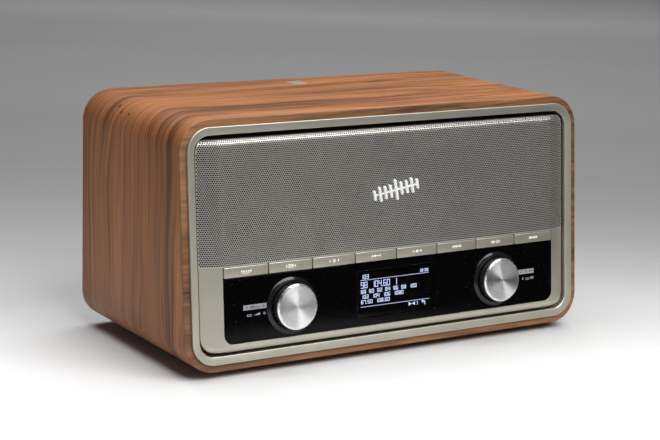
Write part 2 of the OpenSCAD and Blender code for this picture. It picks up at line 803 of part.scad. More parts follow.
module aerial_knuckle() {
  o = rear_sunk + aerial_boss + air;
  gap = lug_r + air;
  tip = rear_sunk + aerial_reach;
  mid = rear_sunk + tilt_off;
  color(bright) at_aerial() {
    translate([0, 0, o]) cylinder(r = 6.4, h = aerial_disc);
    translate([0, 0, rear_sunk + 2.6]) cylinder(r = 2.4, h = o - rear_sunk - 2.4);
    for (e = [-1, 1]) translate([0, e * (gap + cheek_t / 2), 0]) {
      translate([-lug_r - 0.6, -cheek_t / 2, o]) cube([2 * lug_r + 1.2, cheek_t, mid - o]);
      translate([0, 0, mid]) rotate([90, 0, 0]) cylinder(r = tip - mid, h = cheek_t, center = true);
    }
    translate([0, 0, mid]) rotate([90, 0, 0]) cylinder(r = 1.5, h = 2 * gap + 1, center = true);
  }
}

// Local frame of the aerial's tubes: z along the folded aerial, from the tilt axis.
module at_tilt() {
  translate([aerial_x, rear_y + tilt_off, aerial_z]) rotate([0, -90, 0]) children();
}

module tube(outer, inner, from, to) {
  difference() {
    translate([0, 0, from]) cylinder(r = outer, h = to - from);
    translate([0, 0, from + 4]) cylinder(r = inner, h = to - from);
  }
}

module aerial_sleeve() {
  color(bright) at_tilt() difference() {
    union() {
      tube(tube_r[0], tube_r[1] + tube_gap, 4, aerial_len - 2 * head_l);
      rotate([0, 90, 0]) cylinder(r = lug_r, h = 2 * lug_r, center = true);
      translate([-lug_r, -lug_r + 0.8, 0]) cube([2 * lug_r, 2 * lug_r - 1.6, 6]);
    }
    rotate([0, 90, 0]) cylinder(r = 1.5 + run, h = 20, center = true);
  }
}

module aerial_middle() {
  color(bright) at_tilt()
    tube(tube_r[1], tube_r[2] + tube_gap, 10, aerial_len - head_l);
}

module aerial_tip() {
  color(bright) at_tilt() {
    translate([0, 0, 16]) cylinder(r = tube_r[2], h = aerial_len - head_l - 16);
    translate([0, 0, aerial_len - head_l + air]) rotate_extrude()
      polygon([[0, -1], [tube_r[2], -1], [tube_r[2], 0], [2.8, 0], [3.3, 0.6],
               [3.3, 3.4], [2.6, head_l - air], [0, head_l - air]]);
  }
}

shell();
front_lipping();
glue_blocks();
top_plate();
feet();
foot_screws();
bezel();
baffle();
grille();
grille_cloth();
emblem();
fascia();
control_panel();
display_lens();
display_module();
key_carrier();
front_board();
key_switches();
key_mode();
key_menu();
key_info();
key_back();
key_preset();
key_previous();
key_play();
key_next();
knob_rings();
encoders();
encoder_nuts();
volume_cap();
volume_skirt();
volume_spindle();
volume_plunger();
select_cap();
select_skirt();
select_spindle();
select_plunger();
left_frame();
left_magnet();
left_cone();
left_surround();
right_frame();
right_magnet();
right_cone();
right_surround();
driver_screws();
rear_panel();
rear_screws();
bass_port();
power_inlet();
audio_sockets();
main_board();
board_posts();
radio_can();
heat_sink();
aerial_base();
aerial_knuckle();
aerial_sleeve();
aerial_middle();
aerial_tip();
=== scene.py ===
"""Looks of a tabletop radio: walnut wrap, satin metal front, pierced grille, spun knobs and lit display.

Lengths inside the classes are millimetres. A point of the leaning front is (x, s, n): x to the right,
s up the slope from its lower edge and n out of it, with n = 0 on the face of the wooden edge.
"""

import json
import logging
import math
from dataclasses import dataclass, field
from enum import Enum
from typing import Any

import bmesh
import bpy
import numpy as np
from mathutils import Matrix, Vector


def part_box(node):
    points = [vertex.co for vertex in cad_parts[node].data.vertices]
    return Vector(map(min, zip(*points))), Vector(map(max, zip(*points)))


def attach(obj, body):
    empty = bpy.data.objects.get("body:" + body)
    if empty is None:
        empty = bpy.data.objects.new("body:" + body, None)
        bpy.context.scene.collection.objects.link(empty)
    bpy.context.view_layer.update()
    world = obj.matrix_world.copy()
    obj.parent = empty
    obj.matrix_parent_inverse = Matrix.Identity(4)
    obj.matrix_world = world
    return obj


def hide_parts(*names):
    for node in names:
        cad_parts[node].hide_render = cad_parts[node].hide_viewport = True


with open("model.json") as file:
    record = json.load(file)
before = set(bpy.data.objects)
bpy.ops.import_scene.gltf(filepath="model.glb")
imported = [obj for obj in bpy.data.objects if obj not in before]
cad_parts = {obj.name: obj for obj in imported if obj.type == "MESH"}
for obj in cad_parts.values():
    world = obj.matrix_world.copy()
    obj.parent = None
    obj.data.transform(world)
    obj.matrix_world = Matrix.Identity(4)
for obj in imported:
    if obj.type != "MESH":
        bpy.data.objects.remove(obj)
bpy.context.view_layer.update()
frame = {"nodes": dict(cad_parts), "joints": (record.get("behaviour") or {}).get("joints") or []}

MM = 0.001
MAP_UNIT = 100  # millimetres in one unit of the maps
MERGE = 2e-6  # points nearer than this, in metres, become one
FINE_FOLD = 25.0  # degrees past which an edge of a turned piece stays crisp
ROUND_STEPS = 128  # steps round a turned piece
TURNED_MAP = 20  # millimetres of radius in one unit of a turned piece's map
INK_HEIGHT = 0.03  # how far print stands on a face, in millimetres
LOG = logging.getLogger("radio")
Triple = tuple[float, float, float]
Colour = Triple


# ---------------------------------------------------------------- surfaces


def box_mm(node: str) -> np.ndarray:
    """Lowest and highest corner of a solid of the frame, as a 2 x 3 array in millimetres."""
    return np.array([list(corner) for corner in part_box(node)]) / MM


def joint_named(name: str) -> dict[str, Any]:
    """The record of the joint with that name."""
    return next(joint for joint in frame["joints"] if joint["name"] == name)


def arc(centre: tuple[float, float], radius: float, start: float, end: float, steps: int) -> np.ndarray:
    """Points of an arc: centre plus radius times (cos a, sin a), a going evenly from start to end.

    Args:
        centre: middle of the arc.
        radius: its radius.
        start: first angle, in degrees.
        end: last angle, in degrees.
        steps: number of equal steps.

    Returns:
        An array of steps + 1 points.
    """
    a = np.radians(np.linspace(start, end, steps + 1))
    return np.stack([centre[0] + radius * np.cos(a), centre[1] + radius * np.sin(a)], -1)


def softened(corners: list[tuple[float, float]], radius: float, steps: int = 4) -> np.ndarray:
    """A closed polygon with each corner cut by a curve that leaves and meets its sides smoothly.

    Each corner C becomes (1-t)^2 A + 2 t (1-t) C + t^2 B, with A and B on its two sides.

    Args:
        corners: the polygon's corners in order.
        radius: how far from the corner the curve starts, at most 0.45 of a side.
        steps: number of steps in each curve.

    Returns:
        The points of the softened outline.
    """
    c = np.array(corners, float)
    before, after = np.roll(c, 1, 0) - c, np.roll(c, -1, 0) - c
    size_b, size_a = np.linalg.norm(before, axis=1), np.linalg.norm(after, axis=1)
    a = c + before * np.minimum(radius / size_b, 0.45)[:, None]
    b = c + after * np.minimum(radius / size_a, 0.45)[:, None]
    t = np.linspace(0, 1, steps + 1)[None, :, None]
    curve = (1 - t) ** 2 * a[:, None] + 2 * t * (1 - t) * c[:, None] + t**2 * b[:, None]
    return curve.reshape(-1, 2)


@dataclass(frozen=True)
class Outline:
    """A rectangle with round corners in a plane: points and outward directions round it."""

    points: np.ndarray
    outward: np.ndarray

    @classmethod
    def rounded(cls, width: float, low: float, high: float, radius: float, steps: int) -> "Outline":
        """The rectangle centred on x = 0 between two heights, each corner a quarter circle.

        Args:
            width: size along x.
            low: lower edge.
            high: upper edge.
            radius: radius of the corners.
            steps: steps in each quarter circle.

        Returns:
            The outline, starting at the right end of the lower edge and going up the right side.
        """
        a = np.radians(np.linspace(0, 90, steps + 1)[None, :] + np.array([-90, 0, 90, 180])[:, None])
        outward = np.stack([np.cos(a), np.sin(a)], -1)
        x, mid = width / 2 - radius, (low + high) / 2
        y = (high - low) / 2 - radius
        centres = np.array([[x, -y], [x, y], [-x, y], [-x, -y]])[:, None]
        points = centres + radius * outward + [0, mid]
        return cls(points.reshape(-1, 2), outward.reshape(-1, 2))

    def run(self) -> np.ndarray:
        """Length travelled to each point, with the whole length last."""
        steps = np.linalg.norm(np.roll(self.points, -1, 0) - self.points, axis=1)
        return np.concatenate([[0.0], np.cumsum(steps)])

    def inset(self, depths: np.ndarray) -> np.ndarray:
        """Point k moved inwards by each depth: P(k) - depth * outward(k), as a grid of points."""
        return self.points[:, None] - self.outward[:, None] * depths[None, :, None]


class Skin:
    """Gathers patches of surface, in millimetres, and makes them one closed object."""

    def __init__(self) -> None:
        """Starts with no patch."""
        self.points: list[np.ndarray] = []
        self.faces: list[np.ndarray] = []
        self.maps: list[np.ndarray] = []
        self.slots: list[np.ndarray] = []
        self.smooth: list[np.ndarray] = []
        self.count = 0

    def add(
        self,
        points: np.ndarray,
        faces: np.ndarray,
        uv: np.ndarray | None = None,
        slot: int = 0,
        smooth: bool = True,
    ) -> None:
        """Adds faces that all have the same number of corners.

        Args:
            points: their points, n x 3.
            faces: indices into the points, one row per face.
            uv: map place of each face's corners, or None for x and z of the points.
            slot: index of the finish.
            smooth: whether the faces are shaded as one curved surface.
        """
        points = np.asarray(points, float).reshape(-1, 3)
        faces = np.asarray(faces, int)
        if uv is None:
            uv = points[faces][..., [0, 2]] / MAP_UNIT
        self.points.append(points)
        self.faces.append(faces + self.count)
        self.maps.append(np.asarray(uv, float))
        self.slots.append(np.full(len(faces), slot))
        self.smooth.append(np.full(len(faces), smooth))
        self.count += len(points)

    def grid(
        self,
        points: np.ndarray,
        wrap: tuple[bool, bool] = (False, False),
        u: np.ndarray | None = None,
        v: np.ndarray | None = None,
        slot: int = 0,
    ) -> None:
        """Adds a surface of two parameters: the quads between neighbours of a grid of points.

        Args:
            points: rows x columns x 3.
            wrap: whether the last row meets the first, and the last column the first.
            u: map place of each row, with one more where the rows wrap.
            v: map place of each column, with one more where the columns wrap.
            slot: index of the finish.
        """
        rows, columns = points.shape[:2]
        i, j = np.meshgrid(
            np.arange(rows - (not wrap[0])), np.arange(columns - (not wrap[1])), indexing="ij"
        )
        i, j = i.ravel(), j.ravel()
        i2, j2 = (i + 1) % rows, (j + 1) % columns
        faces = np.stack([i * columns + j, i2 * columns + j, i2 * columns + j2, i * columns + j2], -1)
        uv = None
        if u is not None and v is not None:
            uv = np.stack([np.stack([u[i], u[i + 1], u[i + 1], u[i]], -1),
                           np.stack([v[j], v[j], v[j + 1], v[j + 1]], -1)], -1)
        self.add(points, faces, uv, slot)

    def cap(self, ring: np.ndarray, slot: int = 0) -> None:
        """Closes a flat ring of points with one face."""
        self.add(ring, np.arange(len(ring))[None], slot=slot, smooth=False)

    def build(self, name: str, finishes: "list[Finish]", sharp: float = 38.0) -> bpy.types.Object:
        """Makes the object: equal points are merged, faces point outwards and folds stay crisp.

        Args:
            name: name of the object.
            finishes: finish of each slot.
            sharp: angle past which an edge is shaded as a fold, in degrees.

        Returns:
            The object, linked to the scene.
        """
        mesh = bpy.data.meshes.new(name)
        sizes = np.concatenate([np.full(len(f), f.shape[1]) for f in self.faces])
        corners = np.concatenate([f.ravel() for f in self.faces])
        mesh.vertices.add(self.count)
        mesh.vertices.foreach_set("co", (np.concatenate(self.points) * MM).astype(np.float32).ravel())
        mesh.loops.add(len(corners))
        mesh.loops.foreach_set("vertex_index", corners.astype(np.int32))
        mesh.polygons.add(len(sizes))
        mesh.polygons.foreach_set("loop_start", (np.cumsum(sizes) - sizes).astype(np.int32))
        mesh.polygons.foreach_set("material_index", np.concatenate(self.slots).astype(np.int32))
        mesh.polygons.foreach_set("use_smooth", np.concatenate(self.smooth))
        layer = mesh.uv_layers.new(name="UVMap")
        uv = np.concatenate([m.reshape(-1, 2) for m in self.maps])
        layer.data.foreach_set("uv", uv.astype(np.float32).ravel())
        mesh.update(calc_edges=True)
        work = bmesh.new()
        work.from_mesh(mesh)
        bmesh.ops.remove_doubles(work, verts=work.verts, dist=MERGE)
        bmesh.ops.dissolve_degenerate(work, edges=work.edges, dist=1e-7)
        bmesh.ops.recalc_face_normals(work, faces=work.faces)
        work.to_mesh(mesh)
        work.free()
        mesh.set_sharp_from_angle(angle=math.radians(sharp))
        made = bpy.data.objects.new(name, mesh)
        bpy.context.scene.collection.objects.link(made)
        for finish in finishes:
            mesh.materials.append(finish.make())
        return made


@dataclass(frozen=True)
class Front:
    """The leaning plane of the wooden front edge, in millimetres."""

    lean: float
    y: float
    z: float
    length: float

    @classmethod
    def of_frame(cls) -> "Front":
        """Reads the lean from the way the keys press in, and the place from the wooden edge.

        Returns:
            The front of this frame.
        """
        axis = joint_named("key_play_press")["axis"]
        lean = math.atan2(-axis[2], axis[1])
        low, high = box_mm("front_lipping")
        return cls(lean, low[1], low[2], (high[2] - low[2]) / math.cos(lean))

    def place(self, local: np.ndarray) -> np.ndarray:
        """Turns (x, s, n) into the row frame: x, y + s sin t - n cos t, z + s cos t + n sin t.

        Args:
            local: points on and over the front, with (x, s, n) last.

        Returns:
            The same points as (x, y, z).
        """
        sin, cos = math.sin(self.lean), math.cos(self.lean)
        x, s, n = np.moveaxis(np.asarray(local, float), -1, 0)
        return np.stack([x, self.y + s * sin - n * cos, self.z + s * cos + n * sin], -1)

    def depth(self, z: np.ndarray, n: np.ndarray) -> np.ndarray:
        """The y at height z of the plane that lies n out of the front."""
        return self.y + (z - self.z) * math.tan(self.lean) - n / math.cos(self.lean)


def put_on(front: Front, flat: np.ndarray, n: float | np.ndarray) -> np.ndarray:
    """Points (x, s) laid on the front at height n, in the row frame."""
    n = np.broadcast_to(np.asarray(n, float), flat.shape[:-1])
    return front.place(np.concatenate([flat, n[..., None]], -1))


def raised(skin: Skin, front: Front, ring: np.ndarray, low: float, high: float, slot: int = 0) -> None:
    """Adds a prism: a flat ring of (x, s) points carried from n = low to n = high and closed.

    Args:
        skin: what the prism is added to.
        front: the front it lies on.
        ring: its outline.
        low: height of its underside.
        high: height of its face.
        slot: index of the finish.
    """
    foot, face = put_on(front, ring, low), put_on(front, ring, high)
    skin.grid(np.stack([foot, face], 1), (True, False), slot=slot)
    skin.cap(face, slot)
    skin.cap(foot[::-1], slot)


def turned(
    skin: Skin,
    front: Front,
    centre: tuple[float, float],
    profile: np.ndarray,
    slot: int = 0,
    closed: bool = False,
) -> None:
    """Adds a turned surface: profile (r, n) carried round an axis that stands on the front.

    Each point is (x + r cos a, s + r sin a, n). The map runs with the angle and the radius.

    Args:
        skin: what the surface is added to.
        front: the front that the axis stands on.
        centre: the axis, as (x, s).
        profile: radii and heights.
        slot: index of the finish.
        closed: whether the profile's end meets its start.
    """
    a = np.linspace(0, 2 * np.pi, ROUND_STEPS, endpoint=False)[:, None]
    r, n = profile[None, :, 0], profile[None, :, 1]
    flat = np.stack([centre[0] + r * np.cos(a), centre[1] + r * np.sin(a)], -1)
    along = np.linspace(0, 1, ROUND_STEPS + 1)
    across = profile[:, 0] / TURNED_MAP
    across = np.append(across, across[0]) if closed else across
    skin.grid(put_on(front, flat, n + 0 * a), (True, closed), along, across, slot)


# ---------------------------------------------------------------- finishes


class Source(Enum):
    """Where a pattern takes its place from."""

    OBJECT = "Object"
    MAP = "UV"


class Recipe:
    """A material's nodes, put together by short calls."""

    def __init__(self, name: str) -> None:
        """Starts a material that holds one Principled shader.

        Args:
            name: name of the material.
        """
        self.material = bpy.data.materials.new(name)
        self.material.use_nodes = True
        self.tree = self.material.node_tree
        self.tree.nodes.clear()
        self.shader = self.tree.nodes.new("ShaderNodeBsdfPrincipled")
        output = self.tree.nodes.new("ShaderNodeOutputMaterial")
        self.tree.links.new(self.shader.outputs[0], output.inputs[0])

    def feed(self, socket: bpy.types.NodeSocket, value: Any) -> None:
        """Links a socket to another, or sets its value.

        Args:
            socket: the input that is fed.
            value: an output to link, a colour or a plain value.
        """
        if isinstance(value, bpy.types.NodeSocket):
            self.tree.links.new(value, socket)
        elif isinstance(value, tuple) and len(value) == 3 and socket.type == "RGBA":
            socket.default_value = (*value, 1.0)
        else:
            socket.default_value = value

    def shade(self, **values: Any) -> None:
        """Sets or links sockets of the shader; an underscore in a name stands for a space."""
        for name, value in values.items():
            self.feed(self.shader.inputs[name.replace("_", " ")], value)

    def node(self, kind: str, inputs: dict[Any, Any], out: Any = 0, **settings: Any) -> bpy.types.NodeSocket:
        """Adds a node.

        Args:
            kind: its type without the ShaderNode prefix.
            inputs: what its sockets are fed, by name or index.
            out: name or index of the output that is returned.
            **settings: properties of the node.

        Returns:
            That output.
        """
        made = self.tree.nodes.new("ShaderNode" + kind)
        for key, value in settings.items():
            setattr(made, key, value)
        for key, value in inputs.items():
            self.feed(made.inputs[key], value)
        return made.outputs[out]

    def where(self, source: Source, scale: Triple = (1, 1, 1)) -> bpy.types.NodeSocket:
        """Coordinates of a pattern, scaled by axis.

        Args:
            source: which coordinates.
            scale: factor along each axis.

        Returns:
            The coordinates.
        """
        return self.node("Mapping", {"Vector": self.node("TexCoord", {}, source.value), "Scale": scale})

    def noise(self, at: bpy.types.NodeSocket, scale: float, detail: float = 3.0, rough: float = 0.5,
              bend: float = 0.0) -> bpy.types.NodeSocket:
        """Smooth noise from 0 to 1 at a place.

        Args:
            at: the place.
            scale: how many waves lie in one unit of it.
            detail: how many finer waves lie over them.
            rough: how strong the finer waves are.
            bend: how far the pattern is bent by itself.

        Returns:
            The noise.
        """
        values = {"Vector": at, "Scale": scale, "Detail": detail, "Roughness": rough, "Distortion": bend}
        return self.node("TexNoise", values)

    def math(self, operation: str, *values: Any) -> bpy.types.NodeSocket:
        """One arithmetic step."""
        return self.node("Math", dict(enumerate(values)), operation=operation)

    def span(self, value: Any, low: float, high: float, to_low: float = 0.0,
             to_high: float = 1.0) -> bpy.types.NodeSocket:
        """Carries low..high to to_low..to_high, smoothly and held at both ends."""
        values = {"Value": value, "From Min": low, "From Max": high, "To Min": to_low, "To Max": to_high}
        return self.node("MapRange", values, interpolation_type="SMOOTHSTEP")

    def ramp(self, value: Any, stops: list[tuple[float, Colour]]) -> bpy.types.NodeSocket:
        """A colour that goes through the stops as the value rises.

        Args:
            value: the value, from 0 to 1.
            stops: places and their colours.

        Returns:
            The colour.
        """
        out = self.node("ValToRGB", {0: value})
        band = out.node.color_ramp
        while len(band.elements) < len(stops):
            band.elements.new(1.0)
        for element, (place, colour) in zip(band.elements, stops):
            element.position, element.color = place, (*colour, 1.0)
        return out

    def mix(self, share: Any, a: Any, b: Any, way: str = "MIX") -> bpy.types.NodeSocket:
        """Mixes two colours."""
        return self.node("Mix", {0: share, 6: a, 7: b}, 2, data_type="RGBA", blend_type=way)

    def bump(self, height: Any, distance: float, strength: float = 1.0) -> None:
        """Adds relief to what the shader has already.

        Args:
            height: the pattern, from 0 to 1.
            distance: depth of the relief, in metres.
            strength: share of it that is used.
        """
        values = {"Height": height, "Distance": distance, "Strength": strength}
        normal = self.shader.inputs["Normal"]
        if normal.is_linked:
            values["Normal"] = normal.links[0].from_socket
        self.feed(normal, self.node("Bump", values))


@dataclass(frozen=True)
class Finish:
    """A surface finish. Its material is made once, when the first piece takes it."""

    name: str
    slot: str

    def make(self) -> bpy.types.Material:
        """Finds the material of this finish, or makes it.

        Returns:
            The material.
        """
        found = bpy.data.materials.get(self.name)
        if found is None:
            recipe = Recipe(self.name)
            self.compose(recipe)
            found = recipe.material
        return found

    def compose(self, recipe: Recipe) -> None:
        """Puts the nodes together; each finish has its own."""
        raise NotImplementedError


@dataclass(frozen=True)
class WrapVeneer(Finish):
    """Oiled walnut veneer whose grain runs round the wrap: the map is decimetres along and across it."""

    pale: Colour = (0.53, 0.212, 0.073)
    middle: Colour = (0.35, 0.135, 0.047)
    deep: Colour = (0.11, 0.042, 0.018)
    ink: Colour = (0.030, 0.014, 0.008)
    tip: tuple[float, float] = (1.39, 0.62)
    spread: tuple[float, float] = (2.2, 0.278)
    rings: tuple[tuple[float, float], ...] = ((0.25, 0.75), (-0.18, 0.45), (0.95, 0.4))
    knots: tuple[tuple[float, float], ...] = ((4.498, 1.065), (4.533, 0.987), (4.533, 0.884))

    def compose(self, recipe: Recipe) -> None:
        """Broad bands, wandering dark lines, fibres and pores, all drawn out along the grain.

        Args:
            recipe: the material's nodes.
        """
        source = Source.MAP
        sway = recipe.noise(recipe.where(source, (0.55, 1.3, 1)), 1.0, 2.0, 0.5)
        sway = recipe.math("MULTIPLY", recipe.math("SUBTRACT", sway, 0.5), 0.34)
        raw = recipe.node("SeparateXYZ", {0: recipe.where(source)}, "X")
        across = recipe.node("SeparateXYZ", {0: recipe.where(source)}, "Y")
        bent = recipe.math("ADD", across, sway)

        def drawn(along: float, over: float) -> bpy.types.NodeSocket:
            """Coordinates that follow the bent grain.

            Args:
                along: factor along the grain.
                over: factor over it.

            Returns:
                The coordinates.
            """
            u = recipe.math("MULTIPLY", raw, along)
            v = recipe.math("MULTIPLY", bent, over)
            return recipe.node("CombineXYZ", {0: u, 1: v})

        broad = recipe.noise(drawn(0.30, 3.4), 1.0, 3.0, 0.55, 0.3)
        bands = recipe.noise(drawn(0.42, 15.0), 1.0, 5.0, 0.62, 0.4)
        fibre = recipe.noise(drawn(3.2, 150.0), 1.0, 4.0, 0.7)
        tone = recipe.math("ADD", recipe.math("MULTIPLY", broad, 0.45), recipe.math("MULTIPLY", bands, 0.55))
        colour = recipe.ramp(tone, [(0.34, self.deep), (0.47, self.middle), (0.62, self.pale)])
        line_at = recipe.noise(drawn(0.22, 26.0), 1.0, 2.0, 0.45, 0.25)
        near = recipe.math("ABSOLUTE", recipe.math("SUBTRACT", line_at, 0.5))
        lines = recipe.span(near, 0.0, 0.026, 0.9, 0.0)
        lines = recipe.math("MULTIPLY", lines, recipe.span(broad, 0.46, 0.62, 1.0, 0.25))
        colour = recipe.mix(lines, colour, self.ink)
        colour = recipe.mix(recipe.span(fibre, 0.3, 0.75, 0.34, 0.0), colour, self.deep, "MULTIPLY")
        fine = recipe.noise(drawn(0.8, 62.0), 1.0, 3.0, 0.6, 0.3)
        colour = recipe.mix(recipe.span(fine, 0.47, 0.68, 0.0, 0.5), colour, self.deep)
        pores = recipe.noise(drawn(22.0, 420.0), 1.0, 1.0, 0.5)
        pores = recipe.span(pores, 0.66, 0.74, 0.0, 0.55)
        colour = recipe.mix(pores, colour, self.ink)
        lift = recipe.math("DIVIDE", recipe.math("SUBTRACT", raw, self.tip[0]), self.spread[0])
        core = recipe.math("DIVIDE", recipe.math("SUBTRACT", bent, self.tip[1]), self.spread[1])
        figure = recipe.math("SUBTRACT", recipe.math("MULTIPLY", core, core), lift)
        figure = recipe.math("ADD", figure, recipe.math("MULTIPLY", bands, 0.5))
        for level, share in self.rings:
            away = recipe.math("ABSOLUTE", recipe.math("SUBTRACT", figure, level))
            smoky = recipe.span(away, 0.0, 0.16, share, 0.0)
            smoky = recipe.math("MULTIPLY", smoky, recipe.span(broad, 0.36, 0.56, 1.0, 0.35))
            colour = recipe.mix(smoky, colour, self.deep)
        for along, over in self.knots:
            du = recipe.math("MULTIPLY", recipe.math("SUBTRACT", raw, along), 0.8)
            dv = recipe.math("SUBTRACT", across, over)
            away = recipe.math("SQRT", recipe.math("ADD", recipe.math("POWER", du, 2.0),
                                                   recipe.math("POWER", dv, 2.0)))
            colour = recipe.mix(recipe.span(away, 0.004, 0.016, 0.9, 0.0), colour, self.ink)
        recipe.shade(Base_Color=colour, Roughness=recipe.span(fibre, 0.3, 0.8, 0.42, 0.58),
                     Specular_IOR_Level=0.27)
        recipe.bump(fibre, 0.00006, 0.7)
        recipe.bump(pores, -0.00008, 0.8)


@dataclass(frozen=True)
class EdgeWood(Finish):
    """Solid lipping whose short grain lies along x, so that it crosses the upright edges."""

    pale: Colour = (0.31, 0.138, 0.050)
    deep: Colour = (0.060, 0.024, 0.010)

    def compose(self, recipe: Recipe) -> None:
        """Bands and fibres drawn out along x.

        Args:
            recipe: the material's nodes.
        """
        bands = recipe.noise(recipe.where(Source.OBJECT, (14, 60, 210)), 1.0, 4.0, 0.6, 0.5)
        blotch = recipe.noise(recipe.where(Source.OBJECT, (9, 9, 26)), 1.0, 2.0)
        fibre = recipe.noise(recipe.where(Source.OBJECT, (60, 500, 1500)), 1.0, 2.0)
        tone = recipe.math("ADD", recipe.math("MULTIPLY", bands, 0.6), recipe.math("MULTIPLY", blotch, 0.4))
        colour = recipe.ramp(tone, [(0.36, self.deep), (0.62, self.pale)])
        colour = recipe.mix(recipe.span(fibre, 0.3, 0.7, 0.3, 0.0), colour, self.deep, "MULTIPLY")
        recipe.shade(Base_Color=colour, Roughness=recipe.span(fibre, 0.3, 0.7, 0.38, 0.52))
        recipe.bump(fibre, 0.00004, 0.6)


@dataclass(frozen=True)
class SatinMetal(Finish):
    """Blasted and lacquered metal: an even grain too fine to see singly, with faint handling marks."""

    colour: Colour = (0.53, 0.508, 0.425)
    metallic: float = 0.82
    rough: float = 0.42
    grain: float = 2600.0
    relief: float = 0.000012

    def compose(self, recipe: Recipe) -> None:
        """Fine even grain in relief, broad cloudiness in colour, handling marks in roughness.

        Args:
            recipe: the material's nodes.
        """
        place = recipe.where(Source.OBJECT)
        grain = recipe.noise(place, self.grain, 2.0, 0.6)
        cloud = recipe.noise(place, 22.0, 3.0, 0.55)
        tint = tuple(0.97 * c for c in self.colour)
        colour = recipe.mix(recipe.span(cloud, 0.35, 0.65), tint, self.colour)
        handled = recipe.noise(place, 60.0, 4.0, 0.6)
        rough = recipe.span(handled, 0.3, 0.7, self.rough - 0.015, self.rough + 0.02)
        recipe.shade(Base_Color=colour, Metallic=self.metallic, Roughness=rough)
        recipe.bump(grain, self.relief, 0.5)


@dataclass(frozen=True)
class PolishedMetal(Finish):
    """Bright turned or plated metal with faint wiping marks."""

    colour: Colour = (0.80, 0.80, 0.80)
    rough: float = 0.12
    metallic: float = 1.0

    def compose(self, recipe: Recipe) -> None:
        """Wiping marks in roughness, broad dulling in colour.

        Args:
            recipe: the material's nodes.
        """
        place = recipe.where(Source.OBJECT, (1, 1, 3))
        wipe = recipe.noise(place, 180.0, 4.0, 0.6)
        dull = recipe.noise(place, 30.0, 3.0, 0.5)
        colour = recipe.mix(recipe.span(dull, 0.3, 0.7), tuple(0.92 * c for c in self.colour), self.colour)
        rough = recipe.span(wipe, 0.3, 0.75, self.rough * 0.75, self.rough * 1.5)
        recipe.shade(Base_Color=colour, Metallic=self.metallic, Roughness=rough)


@dataclass(frozen=True)
class SpunMetal(Finish):
    """Aluminium faced on a lathe: the map's u goes round the axis and its v outwards."""

    colour: Colour = (0.98, 0.98, 0.99)
    rough: float = 0.29
    pull: float = 0.9

    def compose(self, recipe: Recipe) -> None:
        """Turning marks round the axis, with the highlight drawn out across them.

        Args:
            recipe: the material's nodes.
        """
        place = recipe.where(Source.MAP, (1.2, 460, 1))
        marks = recipe.noise(place, 1.0, 3.0, 0.65)
        place = recipe.where(Source.MAP, (0.5, 60, 1))
        broad = recipe.noise(place, 1.0, 2.0, 0.6)
        colour = recipe.mix(recipe.span(broad, 0.3, 0.7), tuple(0.9 * c for c in self.colour), self.colour)
        recipe.shade(Base_Color=colour, Metallic=1.0, Anisotropic=self.pull, Anisotropic_Rotation=0.25,
                     Roughness=recipe.span(marks, 0.3, 0.7, self.rough - 0.05, self.rough + 0.07))
        recipe.shade(Tangent=recipe.node("Tangent", {}, direction_type="UV_MAP"))
        recipe.bump(marks, 0.000004, 0.5)


@dataclass(frozen=True)
class GlossPanel(Finish):
    """Polished black sheet with a trace of dust and wiping."""

    colour: Colour = (0.0009, 0.0009, 0.001)
    rough: float = 0.045
    shine: float = 0.11

    def compose(self, recipe: Recipe) -> None:
        """Dust specks in colour and broad smears in roughness.

        Args:
            recipe: the material's nodes.
        """
        place = recipe.where(Source.OBJECT)
        smear = recipe.noise(place, 16.0, 4.0, 0.6, 0.6)
        dust = recipe.span(recipe.noise(place, 900.0, 1.0), 0.72, 0.8)
        colour = recipe.mix(dust, self.colour, (0.03, 0.03, 0.03))
        rough = recipe.span(smear, 0.35, 0.7, self.rough, self.rough * 2.4)
        recipe.shade(Base_Color=colour, Roughness=rough, IOR=1.49, Specular_IOR_Level=self.shine)


@dataclass(frozen=True)
class SmokedLens(Finish):
    """Clear acrylic tinted dark, polished on both faces."""

    colour: Colour = (0.62, 0.62, 0.66)

    def compose(self, recipe: Recipe) -> None:
        """Light passes through; the tint darkens it.

        Args:
            recipe: the material's nodes.
        """
        place = recipe.where(Source.OBJECT)
        smear = recipe.noise(place, 16.0, 4.0, 0.6, 0.6)
        recipe.shade(Base_Color=self.colour, Roughness=recipe.span(smear, 0.35, 0.7, 0.0, 0.03),
                     IOR=1.22, Transmission_Weight=1.0)


@dataclass(frozen=True)
class Moulded(Finish):
    """Moulded plastic, rubber or lacquered board: a fine stipple over a broad waviness."""

    colour: Colour = (0.02, 0.02, 0.02)
    rough: float = 0.5
    stipple: float = 1100.0
    relief: float = 0.00003

    def compose(self, recipe: Recipe) -> None:
        """Stipple in relief and roughness, a broad waviness in colour.

        Args:
            recipe: the material's nodes.
        """
        place = recipe.where(Source.OBJECT)
        stipple = recipe.noise(place, self.stipple, 2.0, 0.5)
        wave = recipe.noise(place, 12.0, 3.0, 0.5)
        paler = tuple(min(1.0, 1.25 * c + 0.006) for c in self.colour)
        colour = recipe.mix(recipe.span(wave, 0.35, 0.7), self.colour, paler)
        rough = recipe.span(stipple, 0.3, 0.7, self.rough - 0.08, self.rough + 0.1)
        recipe.shade(Base_Color=colour, Roughness=rough)
        recipe.bump(stipple, self.relief, 0.5)


